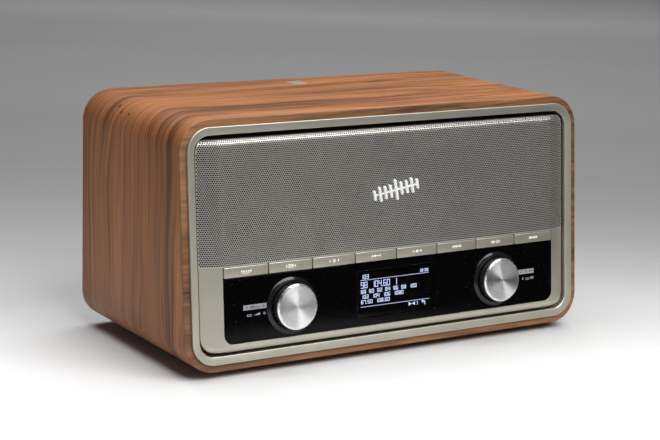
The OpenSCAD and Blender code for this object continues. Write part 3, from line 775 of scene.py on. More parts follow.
@dataclass(frozen=True)
class Woven(Finish):
    """Thin acoustic cloth: plain weave."""

    colour: Colour = (0.012, 0.012, 0.012)
    threads: float = 1500.0

    def compose(self, recipe: Recipe) -> None:
        """Two sets of threads as crossed waves, in relief and tone.

        Args:
            recipe: the material's nodes.
        """
        place = recipe.where(Source.OBJECT, (self.threads, self.threads, self.threads))
        x = recipe.node("SeparateXYZ", {0: place}, "X")
        z = recipe.node("SeparateXYZ", {0: place}, "Z")
        weave = recipe.math("MULTIPLY", recipe.math("SINE", x), recipe.math("SINE", z))
        paler = tuple(2.2 * c for c in self.colour)
        recipe.shade(Base_Color=recipe.mix(recipe.span(weave, -0.6, 0.6), self.colour, paler),
                     Roughness=0.92, Sheen_Weight=0.15)
        recipe.bump(weave, 0.00006, 0.6)


@dataclass(frozen=True)
class Lacquered(Finish):
    """Circuit board: green lacquer over copper tracks."""

    colour: Colour = (0.012, 0.085, 0.035)
    track: Colour = (0.03, 0.17, 0.07)

    def compose(self, recipe: Recipe) -> None:
        """Straight tracks as a brick pattern under the lacquer.

        Args:
            recipe: the material's nodes.
        """
        place = recipe.where(Source.OBJECT, (900, 300, 900))
        tracks = recipe.node("TexBrick", {"Vector": place, "Scale": 1.0, "Mortar Size": 0.09}, "Fac")
        recipe.shade(Base_Color=recipe.mix(tracks, self.colour, self.track), Roughness=0.3)
        recipe.bump(tracks, 0.00003, 0.5)


@dataclass(frozen=True)
class Printed(Finish):
    """Thin screen-printed ink, worn a little."""

    colour: Colour = (0.62, 0.63, 0.62)

    def compose(self, recipe: Recipe) -> None:
        """Speckle where the ink lies thin.

        Args:
            recipe: the material's nodes.
        """
        speck = recipe.noise(recipe.where(Source.OBJECT), 2400.0, 2.0)
        darker = tuple(0.8 * c for c in self.colour)
        recipe.shade(Base_Color=recipe.mix(recipe.span(speck, 0.35, 0.6), darker, self.colour), Roughness=0.5)


@dataclass(frozen=True)
class Lit(Finish):
    """Dots of a display that give their own light."""

    colour: Colour = (0.62, 0.72, 1.0)
    strength: float = 1.5

    def compose(self, recipe: Recipe) -> None:
        """An even glow over a faint unevenness of the dots.

        Args:
            recipe: the material's nodes.
        """
        uneven = recipe.noise(recipe.where(Source.OBJECT), 700.0, 1.0)
        recipe.shade(Base_Color=recipe.mix(uneven, (0.3, 0.33, 0.4), (0.5, 0.55, 0.6)),
                     Emission_Color=self.colour, Emission_Strength=self.strength, Roughness=0.4)


VENEER = WrapVeneer("walnut_veneer", "wood")
LIPPING = EdgeWood("walnut_lipping", "wood_edge")
BLOCKS = EdgeWood("pine_blocks", "wood_edge", pale=(0.60, 0.42, 0.22), deep=(0.40, 0.24, 0.11))
SATIN = SatinMetal("champagne_satin", "satin_metal")
KEYMETAL = SatinMetal("champagne_keys", "satin_metal", colour=(0.52, 0.49, 0.40), rough=0.38)
PIERCED = SatinMetal("pierced_sheet", "pierced_metal", colour=(0.70, 0.675, 0.62), rough=0.36, metallic=0.78)
PLATE = SatinMetal("plate_satin", "satin_metal", colour=(0.24, 0.225, 0.20), rough=0.5, metallic=0.4)
# painted shade: a near-black finish on the grille's skirt and the walls of its holes, standing in for the
# shade in the gap and in the holes
PAINTED_SHADE = SatinMetal("painted_shade_skirt", "pierced_metal", colour=(0.045, 0.044, 0.042), rough=0.6, metallic=0.4)
CHROME = PolishedMetal("bright_plate", "bright_metal", rough=0.08, colour=(0.86, 0.86, 0.85))
PLATED = PolishedMetal("plated_bars", "bright_metal", rough=0.34, colour=(0.98, 0.98, 0.97), metallic=0.35)
RIM = PolishedMetal("cut_rim", "bright_metal", rough=0.24, colour=(0.97, 0.97, 0.97))
SPUN = SpunMetal("spun_face", "bright_metal")
DARKPOLISH = PolishedMetal("dark_polish", "dark_metal", colour=(0.11, 0.112, 0.12), rough=0.22, metallic=0.85)
RINGPOLISH = PolishedMetal("dark_ring", "dark_metal", colour=(0.035, 0.036, 0.038), rough=0.14, metallic=0.8)
BLACKED = PolishedMetal("blacked_steel", "dark_metal", colour=(0.07, 0.07, 0.075), rough=0.3)
ZINC = PolishedMetal("zinc_steel", "steel", colour=(0.52, 0.53, 0.55), rough=0.3)
BRASS = PolishedMetal("turned_brass", "brass", colour=(0.62, 0.45, 0.18), rough=0.28)
PANEL = GlossPanel("black_panel", "dark_panel")
LENS = SmokedLens("smoked_lens", "lens")
BLACK = Moulded("black_plastic", "black_plastic")
MATT = Moulded("matt_board", "black_plastic", colour=(0.014, 0.014, 0.014), rough=0.75, stipple=400.0)
RUBBER = Moulded("soft_rubber", "rubber", colour=(0.028, 0.028, 0.028), rough=0.7, stipple=700.0)
PAPER = Moulded("cone_paper", "cone_paper", colour=(0.030, 0.030, 0.032), rough=0.85, stipple=500.0)
CLOTH = Woven("acoustic_cloth", "cloth")
BOARD = Lacquered("green_board", "circuit_board")
INK = Printed("pale_ink", "satin_metal", colour=(0.90, 0.90, 0.88))
FAINTINK = Printed("faint_ink", "satin_metal", colour=(0.30, 0.31, 0.33))
GREYINK = Printed("grey_ink", "satin_metal", colour=(0.27, 0.28, 0.30))
DARKINK = Printed("dark_ink", "dark_panel", colour=(0.02, 0.02, 0.02))
DOTS = Lit("lit_dots", "lens")


def keep(piece: bpy.types.Object, body: str, finish: Finish, *nodes: str) -> bpy.types.Object:
    """Lets a piece ride on a body and stand for solids of the frame, and reports it.

    Args:
        piece: the finished object.
        body: the body it rides on.
        finish: its main finish.
        *nodes: the solids it stands for.

    Returns:
        The piece.
    """
    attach(piece, body)
    if nodes:
        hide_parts(*nodes)
    LOG.info("%s: %d faces on %s", piece.name, len(piece.data.polygons), body)
    return piece


def dress(finish: Finish, *nodes: str) -> None:
    """Gives solids of the frame a finish.

    Args:
        finish: the finish.
        *nodes: names of the solids.
    """
    for name in nodes:
        node = frame["nodes"][name]
        node.data.materials.clear()
        node.data.materials.append(finish.make())
        LOG.info("%s takes %s", name, finish.name)


def soften(width: float, *nodes: str) -> None:
    """Rounds the edges of solids of the frame.

    Args:
        width: width of the rounding, in mm.
        *nodes: names of the solids.
    """
    for name in nodes:
        node = frame["nodes"][name]
        node.modifiers.new("weld", "WELD")
        edge = node.modifiers.new("edge", "BEVEL")
        edge.width = width * MM
        edge.segments = 2
        edge.limit_method = "ANGLE"
        edge.angle_limit = math.radians(40)


# ---------------------------------------------------------------- cabinet


@dataclass
class Cabinet:
    """The wooden wrap with its lipping, feet and top plate."""

    front: Front
    corner: float = 19.6
    wall: float = 10.0
    edge: float = 4.5
    rear_edge: float = 6.0
    rear_step: float = 3.5
    rebate: float = 7.6
    lipping: float = 1.4
    arris: float = 0.5
    joint_gap: float = 0.12

    def ring(self) -> Outline:
        """The wrap's outline in x and z."""
        low, high = box_mm("shell")
        return Outline.rounded(high[0] - low[0], low[2], high[2], self.corner, 20)

    def sweep(self, skin: Skin, depths: np.ndarray, rear: np.ndarray, out: np.ndarray) -> None:
        """Carries a closed profile round the outline.

        Column j of row k is the outline's point k moved inwards by depths[j]. Its y is rear[j] where
        that is a number, and otherwise lies on the leaning plane at height out[j].

        Args:
            skin: what the surface is added to.
            depths: distance inwards of each point of the profile.
            rear: y of each point, or nan.
            out: height over the front plane of each point, used where rear is nan.
        """
        ring = self.ring()
        flat = ring.inset(depths)
        lean = self.front.depth(flat[..., 1], out[None, :])
        y = np.where(np.isnan(rear)[None, :], lean, rear[None, :])
        points = np.stack([flat[..., 0], y, flat[..., 1]], -1)
        run = ring.run() / MAP_UNIT
        rows = np.stack([run[:-1], run[1:]], -1)
        count = len(depths)
        i, j = np.meshgrid(np.arange(len(flat)), np.arange(count), indexing="ij")
        i, j = i.ravel(), j.ravel()
        i2, j2 = (i + 1) % len(flat), (j + 1) % count
        faces = np.stack([i * count + j, i2 * count + j, i2 * count + j2, i * count + j2], -1)
        over = (points[..., 1] - self.front.y) / MAP_UNIT
        uv = np.stack([np.stack([rows[i, 0], rows[i, 1], rows[i, 1], rows[i, 0]], -1),
                       np.stack([over[i, j], over[i2, j], over[i2, j2], over[i, j2]], -1)], -1)
        skin.add(points.reshape(-1, 3), faces, uv)

    def build(self) -> None:
        """Makes the wrap and the lipping, and dresses what stands on the wood."""
        rear = box_mm("shell")[1][1]
        a = self.arris
        none = math.nan
        profile = [
            (0.25, none, -self.lipping - self.joint_gap), (0.0, none, -self.lipping - 0.35),
            (0.0, rear - a, 0), (0.3 * a, rear - 0.3 * a, 0), (a, rear, 0),
            (self.rear_edge - 0.3, rear, 0), (self.rear_edge, rear - 0.3, 0),
            (self.rear_edge, rear - self.rear_step, 0), (self.wall, rear - self.rear_step, 0),
            (self.wall, none, -self.rebate), (self.edge, none, -self.rebate),
            (self.edge, none, -self.lipping - self.joint_gap),
        ]
        depths, rears, outs = np.array(profile).T
        skin = Skin()
        self.sweep(skin, depths, rears, outs)
        keep(skin.build("cabinet_wrap", [VENEER]), "cabinet", VENEER, "shell")
        skin = Skin()
        lip = [
            (0.12, -self.lipping), (0.0, 0.3 - self.lipping), (0.0, -a), (0.1 * a, -0.42 * a),
            (0.3 * a, -0.18 * a), (0.6 * a, -0.04 * a), (a, 0.0), (self.edge - 0.15, 0.0),
            (self.edge, -0.15), (self.edge, -self.lipping),
        ]
        depths, outs = np.array(lip).T
        self.sweep(skin, depths, np.full(len(lip), none), outs)
        keep(skin.build("front_edge", [LIPPING]), "cabinet", LIPPING, "front_lipping")
        dress(BLOCKS, "glue_blocks")
        dress(PLATE, "top_plate")
        soften(0.3, "top_plate")
        dress(RUBBER, "feet")
        dress(ZINC, "foot_screws")


# ---------------------------------------------------------------- front


@dataclass
class Insert:
    """The form of the raised insert: flat in the middle, sloped at both sides, round along its top."""

    front: Front
    half: float = 138.9
    flat_half: float = 125.8
    low: float = 11.6
    high: float = 140.805
    out: float = 5.0
    fall: float = 6.2
    top_round: float = 3.7
    low_round: float = 4.2
    fold: float = 3.0
    corner: float = 10.0
    seam: float = 64.2

    @property
    def angle(self) -> float:
        """Angle of the side slopes."""
        return math.atan2(self.fall, self.half - self.flat_half)

    def side(self, u: np.ndarray) -> tuple[np.ndarray, np.ndarray, np.ndarray]:
        """Follows the section across the insert by length from its middle.

        Up to the fold it is flat; over the fold it turns evenly, x growing by the integral of cos and
        the drop by the integral of sin; past it, it is the straight slope.

        Args:
            u: length along the section, with its sign.

        Returns:
            x, the drop below the flat and the angle of the surface.
        """
        size, sign, a = np.abs(u), np.sign(u), self.angle
        start = self.flat_half - self.fold / 2
        t = np.clip(size - start, 0, self.fold)
        turn = a * t / self.fold
        radius = self.fold / a
        rest = np.clip(size - start - self.fold, 0, None)
        x = np.minimum(size, start) + radius * np.sin(turn) + rest * math.cos(a)
        drop = radius * (1 - np.cos(turn)) + rest * math.sin(a)
        return sign * x, drop, sign * turn

    def top(self, v: np.ndarray) -> tuple[np.ndarray, np.ndarray, np.ndarray]:
        """Follows the section up the insert by length: flat, then a quarter circle.

        Args:
            v: length along the section from the front's lower edge.

        Returns:
            s, the drop below the flat and the angle of the surface.
        """
        start = self.high - self.top_round
        turn = np.clip((v - start) / self.top_round, 0, np.pi / 2)
        s = np.minimum(v, start) + self.top_round * np.sin(turn)
        return s, self.top_round * (1 - np.cos(turn)), turn


@dataclass
class Grille:
    """The pierced sheet: round holes at the centres of a diamond lattice, in three panels."""

    insert: Insert
    columns: int = 200
    rows: int = 65
    hole: float = 0.57
    sheet: float = 0.8
    foot: float = -7.0
    map_width: float = 300.0
    hole_sides: int = 8
    panels: tuple[tuple[str, int, int], ...] = (
        ("grille_left", -200, -67), ("grille_middle", -67, 67), ("grille_right", 67, 201))

    @property
    def reach(self) -> float:
        """Length of the section from its middle to its end."""
        form = self.insert
        return form.flat_half + (form.half - form.flat_half) / math.cos(form.angle)

    @property
    def top_end(self) -> float:
        """Length at which the rounded top has turned down."""
        return self.insert.high - self.insert.top_round + self.insert.top_round * math.pi / 2

    def steps(self) -> tuple[float, float]:
        """Half diagonals of a diamond across and up."""
        return self.reach / self.columns, (self.top_end - self.insert.seam) / self.rows

    def cornered(self, uv: np.ndarray) -> tuple[np.ndarray, np.ndarray]:
        """Pulls points beyond the rounded upper corners back onto them.

        Args:
            uv: points as lengths across and up.

        Returns:
            The points, and which of them were pulled.
        """
        radius = self.insert.corner
        bend = np.array([self.reach - radius, self.top_end - radius])
        over = np.stack([np.abs(uv[..., 0]), uv[..., 1]], -1) - bend
        away = np.linalg.norm(over, axis=-1)
        pulled = (over > 0).all(-1) & (away > radius - 1e-6)
        scale = np.where(pulled, radius / np.maximum(away, 1e-9), 1.0)
        new = over * scale[..., None] + bend
        new[..., 0] *= np.where(uv[..., 0] < 0, -1.0, 1.0)
        return np.where(pulled[..., None], new, uv), pulled

    def lift(self, uv: np.ndarray, deep: float = 0.0) -> np.ndarray:
        """Lays points of the sheet on the insert, deep below its outer face.

        The outer face is (x(u), s(v), out - side drop - top drop) and its direction is
        (tan a cos b, sin b, cos b) made one long, with a and b the two angles of the surface.

        Args:
            uv: points as lengths across and up.
            deep: how far below the outer face they lie.

        Returns:
            The points in the row frame.
        """
        x, side_drop, a = self.insert.side(uv[..., 0])
        s, top_drop, b = self.insert.top(uv[..., 1])
        way = np.stack([np.tan(a) * np.cos(b), np.sin(b), np.cos(b)], -1)
        way /= np.linalg.norm(way, axis=-1, keepdims=True)
        local = np.stack([x, s, self.insert.out - side_drop - top_drop], -1)
        return self.insert.front.place(local - deep * way)

    def lattice(self, first: int, last: int) -> tuple[np.ndarray, np.ndarray]:
        """Hole centres of some columns: they lie where column and row add to an odd number.

        Args:
            first: first column of hole centres.
            last: column after the last one.

        Returns:
            The centres, n x 2, and the four tips of the diamond round each, n x 4 x 2, counted in
            columns and rows.
        """
        i, j = np.meshgrid(np.arange(first, last), np.arange(0, self.rows + 1), indexing="ij")
        odd = (i + j) % 2 == 1
        centre = np.stack([i[odd], j[odd]], -1)
        return centre, centre[:, None] + np.array([[1, 0], [0, 1], [-1, 0], [0, -1]])

    @staticmethod
    def border(groups: list[np.ndarray], total: int) -> np.ndarray:
        """Edges that only one face has.

        Args:
            groups: faces with the same number of corners each, as rows of indices.
            total: number of points they refer to.

        Returns:
            The edges, n x 2, running as their face does.
        """
        edges = np.concatenate([np.stack([f, np.roll(f, -1, 1)], -1).reshape(-1, 2) for f in groups])
        edges = edges[edges[:, 0] != edges[:, 1]]
        place, times = np.unique(edges.min(1) * total + edges.max(1), return_index=True,
                                 return_counts=True)[1:]
        return edges[place[times == 1]]

    def panel(self, name: str, first: int, last: int) -> bpy.types.Object:
        """Makes one panel of the sheet, both its faces, the walls of its holes and its rim. The hole walls
        take a dark finish that is painted shade.

        Args:
            name: name of the piece.
            first: first column of hole centres.
            last: column after the last one.

        Returns:
            The piece.
        """
        centre, tips = self.lattice(first, last)
        inside = (np.abs(tips[..., 0]) <= self.columns) & (tips[..., 1] >= 0) & (tips[..., 1] <= self.rows)
        scale = np.array(self.steps())
        base = np.array([0.0, self.insert.seam])
        tip_uv, pulled = self.cornered(tips * scale + base)
        whole = inside.all(1) & ~pulled.any(1)
        solid = ~whole & (inside.sum(1) >= 3) & ~pulled.all(1)
        # tips that neighbours share become one point: each place has one number of its own
        code = (tips[..., 0] + 1000) * 1000 + tips[..., 1] + 10
        keys, where, back = np.unique(code[whole | solid].reshape(-1), return_index=True, return_inverse=True)
        used = tip_uv[whole | solid].reshape(-1, 2)[where]
        lattice = np.full(code.shape, -1)
        lattice[whole | solid] = back.reshape(-1, 4)
        count = len(keys)
        sides = self.hole_sides
        a = np.radians(np.arange(sides) * (360.0 / sides))
        ring = np.stack([np.cos(a), np.sin(a)], -1) * self.hole
        holes = (centre[whole] * scale + base)[:, None] + ring[None]
        rings = count + np.arange(holes.shape[0] * sides).reshape(-1, sides)
        uv = np.concatenate([used, holes.reshape(-1, 2)])
        total = len(uv)
        # each side of a diamond and a quarter of its hole bound one face of five corners
        k = np.arange(4)
        four = lattice[whole]
        pent = np.stack([four[:, k], four[:, (k + 1) % 4], rings[:, (2 * k + 2) % sides], rings[:, 2 * k + 1],
                         rings[:, 2 * k]], -1).reshape(-1, 5)
        full = lattice[solid & inside.all(1)]
        part = lattice[solid & ~inside.all(1)]
        part = part[inside[solid & ~inside.all(1)]].reshape(-1, 3)
        points = np.concatenate([self.lift(uv), self.lift(uv, self.sheet)])
        skin = Skin()
        flat = np.concatenate([uv, uv]) / self.map_width + [0.5, 0.0]

        def lay(faces: np.ndarray, slot: int = 0) -> None:
            """Adds faces that share the panel's points.

            Args:
                faces: indices into the panel's points, one row per face.
                slot: index of the finish.
            """
            if len(faces):
                skin.faces.append(faces)
                skin.maps.append(flat[faces])
                skin.slots.append(np.full(len(faces), slot))
                skin.smooth.append(np.ones(len(faces), bool))

        for faces in (pent, full, part):
            lay(faces)
            lay(faces[:, ::-1] + total)
        m = np.arange(sides)
        near, far = rings[:, m], rings[:, (m + 1) % sides]
        # the hole walls take slot 1, the dark finish: painted shade in the holes
        lay(np.stack([near, far, far + total, near + total], -1).reshape(-1, 4), 1)
        # the panel's rim gets a wall too: its points are tips, while those of a hole come after them
        rim = self.border([pent, full, part], total)
        rim = rim[(rim < count).all(1)]
        lay(np.stack([rim[:, 1], rim[:, 0], rim[:, 0] + total, rim[:, 1] + total], -1))
        skin.points.append(points)
        skin.count = len(points)
        return skin.build(name, [PIERCED, PAINTED_SHADE], 30)

    def rim(self) -> bpy.types.Object:
        """Makes the skirt that runs down into the gap: the sheet's outline carried to the foot, in a dark
        finish that is painted shade.

        Returns:
            The piece.
        """
        radius = self.insert.corner
        left = -self.reach
        side = np.stack([np.full(30, left), np.linspace(self.insert.seam, self.top_end - radius, 30)], -1)
        turn = arc((left + radius, self.top_end - radius), radius, 180, 90, 14)[1:]
        across = np.stack([np.linspace(left + radius, 0, 60), np.full(60, self.top_end)], -1)[1:]
        path = np.concatenate([side, turn, across])
        path = np.concatenate([path, path[-2::-1] * [-1, 1]])
        outer, inner = self.lift(path), self.lift(path, self.sheet)
        origin = self.insert.front.place(np.zeros(3))
        way = self.insert.front.place(np.array([0, 0, 1.0])) - origin
        down_out = outer - ((outer - origin) @ way - self.foot)[:, None] * way
        down_in = inner - ((inner - origin) @ way - self.foot)[:, None] * way
        skin = Skin()
        section = np.stack([outer, down_out, down_in, inner], 1)
        skin.grid(section, (False, True))
        skin.cap(section[0])
        skin.cap(section[-1][::-1])
        return skin.build("grille_rim", [PAINTED_SHADE])

    def build(self) -> None:
        """Makes the panels and the rim; the first panel stands for the solid sheet."""
        for name, first, last in self.panels:
            stands = ("grille",) if name == "grille_left" else ()
            keep(self.panel(name, first, last), "cabinet", PIERCED, *stands)
        # the skirt's dark finish is painted shade in the gap round the insert
        keep(self.rim(), "cabinet", PAINTED_SHADE)
        dress(CLOTH, "grille_cloth")
        dress(MATT, "baffle")


@dataclass
class Surround:
    """The satin bezel in the wooden edge and the fascia around the dark panel."""

    insert: Insert
    edge: float = 4.5
    corner: float = 19.6
    width: float = 5.1
    proud: float = 2.0
    fall: float = 0.9
    rebate: float = 7.6
    play: float = 0.05
    cut_half: float = 125.6
    cut_low: float = 16.6
    cut_corner: float = 6.5
    shelf: float = 2.5
    arris: float = 0.35

    def bezel(self) -> bpy.types.Object:
        """The bezel: its section carried round the rounded rectangle.

        Returns:
            The piece.
        """
        front = self.insert.front
        half = box_mm("shell")[1][0] - self.edge - self.play
        ring = Outline.rounded(2 * half, self.edge + self.play, front.length - self.edge - self.play,
                               self.corner - self.edge, 20)
        w, top = self.width, self.proud
        section = softened([(0, -self.rebate), (0, top), (w, top - self.fall), (w, -self.rebate)], 0.6, 4)
        flat = ring.inset(section[:, 0])
        skin = Skin()
        skin.grid(put_on(front, flat, np.broadcast_to(section[:, 1], flat.shape[:2])), (True, True))
        return skin.build("bezel_ring", [SATIN])

    def level(self, x: np.ndarray, s: np.ndarray) -> np.ndarray:
        """Height of the fascia's face: flat, less the side slope and the rounding of its lower edge.

        The lower rounding drops by r - sqrt(r^2 - e^2), with e how far the point is past its start.

        Args:
            x: places across.
            s: places up the slope.

        Returns:
            The height n at each place.
        """
        form = self.insert
        size = np.abs(x)
        u = np.where(size < form.flat_half, size,
                     form.flat_half + (size - form.flat_half) / math.cos(form.angle))
        drop = form.side(u)[1]
        r = form.low_round
        past = np.clip(form.low + r - s, 0, r)
        return form.out - drop - (r - np.sqrt(r * r - past * past))

    def fascia(self) -> bpy.types.Object:
        """The fascia: a sheet between the cut-out's outline and the insert's, with turned edges.

        Row k joins point k of the cut-out to point k of the outer outline; column w lies at the
        share w of the way between them.

        Returns:
            The piece.
        """
        form, steps = self.insert, 16
        rise = np.linspace(0, 1, 12)[:-1, None]
        lift = np.linspace(0, 1, 40)[1:-1, None]

        def path(half: float, low: float, radius: float) -> np.ndarray:
            """Goes down the left side, along the bottom and up the right side of a U.

            Args:
                half: half its width.
                low: its lower edge.
                radius: radius of its two corners.

            Returns:
                The points of the path.
            """
            side = np.array([-half, form.seam]) * (1 - rise) + np.array([-half, low + radius]) * rise
            turn = arc((-half + radius, low + radius), radius, 180, 270, steps)
            base = np.array([-half + radius, low]) * (1 - lift) + np.array([half - radius, low]) * lift
            left = np.concatenate([side, turn])
            return np.concatenate([left, base, left[::-1] * [-1, 1]])

        inner = path(self.cut_half, self.cut_low, self.cut_corner)
        outer = path(form.half, form.low, form.corner)
        gap = np.linalg.norm(outer - inner, axis=1, keepdims=True)
        a = self.arris
        shares = [0 * gap, 0 * gap, 0.25 * a / gap, a / gap]
        sinks = [None, a, 0.25 * a, 0.0]
        for share in (1 - np.cos(np.linspace(0, np.pi, 26)[1:-1])) / 2:
            shares.append(a / gap + (1 - a / gap) * share)
            sinks.append(0.0)
        shares += [1 + 0 * gap, 1 + 0 * gap]
        sinks += [0.0, None]
        columns = []
        for place, (share, sink) in enumerate(zip(shares, sinks)):
            flat = inner + (outer - inner) * share
            if sink is None:
                n = np.full(len(flat), self.shelf - 0.6 if place == 0 else -self.rebate + 0.6)
            else:
                n = self.level(flat[:, 0], flat[:, 1]) - sink
            columns.append(put_on(form.front, flat, n))
        grid = np.stack(columns, 1)
        skin = Skin()
        skin.grid(grid, (False, True))
        skin.cap(grid[0])
        skin.cap(grid[-1][::-1])
        return skin.build("fascia_frame", [SATIN])

    def build(self) -> None:
        """Makes both pieces."""
        keep(self.bezel(), "cabinet", SATIN, "bezel")
        keep(self.fascia(), "cabinet", SATIN, "fascia")


# ---------------------------------------------------------------- marks


class Mark(Enum):
    """Signs that are printed on keys and panel."""

    DOTS = "three dots"
    LINES = "three lines"
    RING = "ring and dot"
    ARROW = "arrow to the left"
    STAR = "two short bars and a diamond"
    PREVIOUS = "bar and two triangles to the left"
    PLAY = "triangle and two bars"
    NEXT = "two triangles to the right and a bar"
    POWER = "open ring and a bar"
    WEDGE = "rising wedge"
    TICK = "tick"
    MOON = "crescent"


def bar(x: float, s: float, width: float, height: float) -> np.ndarray:
    """Outline of an upright rectangle about (x, s)."""
    w, h = width / 2, height / 2
    return np.array([[x - w, s - h], [x + w, s - h], [x + w, s + h], [x - w, s + h]])


def disc(x: float, s: float, radius: float) -> np.ndarray:
    """Outline of a round dot."""
    return arc((x, s), radius, 0, 345, 23)


def triangle(x: float, s: float, size: float) -> np.ndarray:
    """Outline of a triangle that points along x, or against it where the size is below 0.

    Args:
        x: its middle across.
        s: its middle up the slope.
        size: its length and height.

    Returns:
        Its three corners.
    """
    h = abs(size) / 2
    ring = np.array([[x - size / 2, s - h], [x + size / 2, s], [x - size / 2, s + h]])
    return ring if size > 0 else ring[::-1]


def hoop(x: float, s: float, radius: float, line: float, start: float, end: float) -> np.ndarray:
    """Outline of a bent bar: an arc out, and back on a smaller radius."""
    outer = arc((x, s), radius, start, end, 20)
    return np.concatenate([outer, arc((x, s), radius - line, end, start, 20)])


def crescent(x: float, s: float, radius: float) -> np.ndarray:
    """Outline of a crescent: a wide arc and a flatter bow between the same points.

    Args:
        x: middle of the wide arc.
        s: its middle up the slope.
        radius: radius of the wide arc.

    Returns:
        The points of the outline.
    """
    outer = arc((x, s), radius, 60, 300, 20)
    start, end = outer[-1], outer[0]
    t = np.linspace(0, 1, 12)[1:-1, None]
    bow = start * (1 - t) + end * t
    bow[:, 0] -= 0.55 * radius * np.sin(np.pi * t[:, 0])
    return np.concatenate([outer, bow])


def sign(mark: Mark, x: float, s: float, size: float) -> list[np.ndarray]:
    """Outlines of a sign about (x, s).

    Args:
        mark: which sign.
        x: its middle across.
        s: its middle up the slope.
        size: its height.

    Returns:
        One closed outline for each stroke.
    """
    h = size
    line = 0.2 * h
    shapes = {
        Mark.DOTS: [disc(x + k * 0.75 * h, s, 0.24 * h) for k in (-1, 0, 1)]
                   + [bar(x, s - 0.55 * h, 2.2 * h, 0.16 * h)],
        Mark.LINES: [bar(x, s + k * 0.36 * h, 1.9 * h, line) for k in (-1, 0, 1)],
        Mark.RING: [hoop(x, s, 0.5 * h, 0.16 * h, a, a + 176) for a in (2, 182)] + [disc(x, s, 0.16 * h)],
        Mark.ARROW: [triangle(x - 0.7 * h, s, -0.9 * h), bar(x + 0.4 * h, s, 1.5 * h, line)],
        Mark.STAR: [np.array([[x - 0.5 * h, s], [x, s - 0.5 * h], [x + 0.5 * h, s], [x, s + 0.5 * h]]),
                    bar(x - 1.15 * h, s, 0.8 * h, line), bar(x + 1.15 * h, s, 0.8 * h, line)],
        Mark.PREVIOUS: [bar(x - 0.95 * h, s, line, h), triangle(x - 0.4 * h, s, -0.9 * h),
                        triangle(x + 0.55 * h, s, -0.9 * h)],
        Mark.PLAY: [triangle(x - 0.5 * h, s, h), bar(x + 0.4 * h, s, line, h), bar(x + 0.85 * h, s, line, h)],
        Mark.NEXT: [triangle(x - 0.55 * h, s, 0.9 * h), triangle(x + 0.4 * h, s, 0.9 * h),
                    bar(x + 0.95 * h, s, line, h)],
        Mark.POWER: [hoop(x, s, 0.5 * h, 0.15 * h, 120, 420), bar(x, s + 0.3 * h, 0.15 * h, 0.5 * h)],
        Mark.WEDGE: [np.array([[x - 1.4 * h, s - 0.4 * h], [x + 1.4 * h, s - 0.4 * h],
                               [x + 1.4 * h, s + 0.5 * h]])],
        Mark.TICK: [np.array([[x - 0.5 * h, s], [x - 0.1 * h, s - 0.5 * h], [x + 0.6 * h, s + 0.45 * h],
                              [x + 0.45 * h, s + 0.55 * h], [x - 0.1 * h, s - 0.2 * h],
                              [x - 0.36 * h, s + 0.12 * h]])],
        Mark.MOON: [crescent(x, s, 0.5 * h)],
    }
    return shapes[mark]


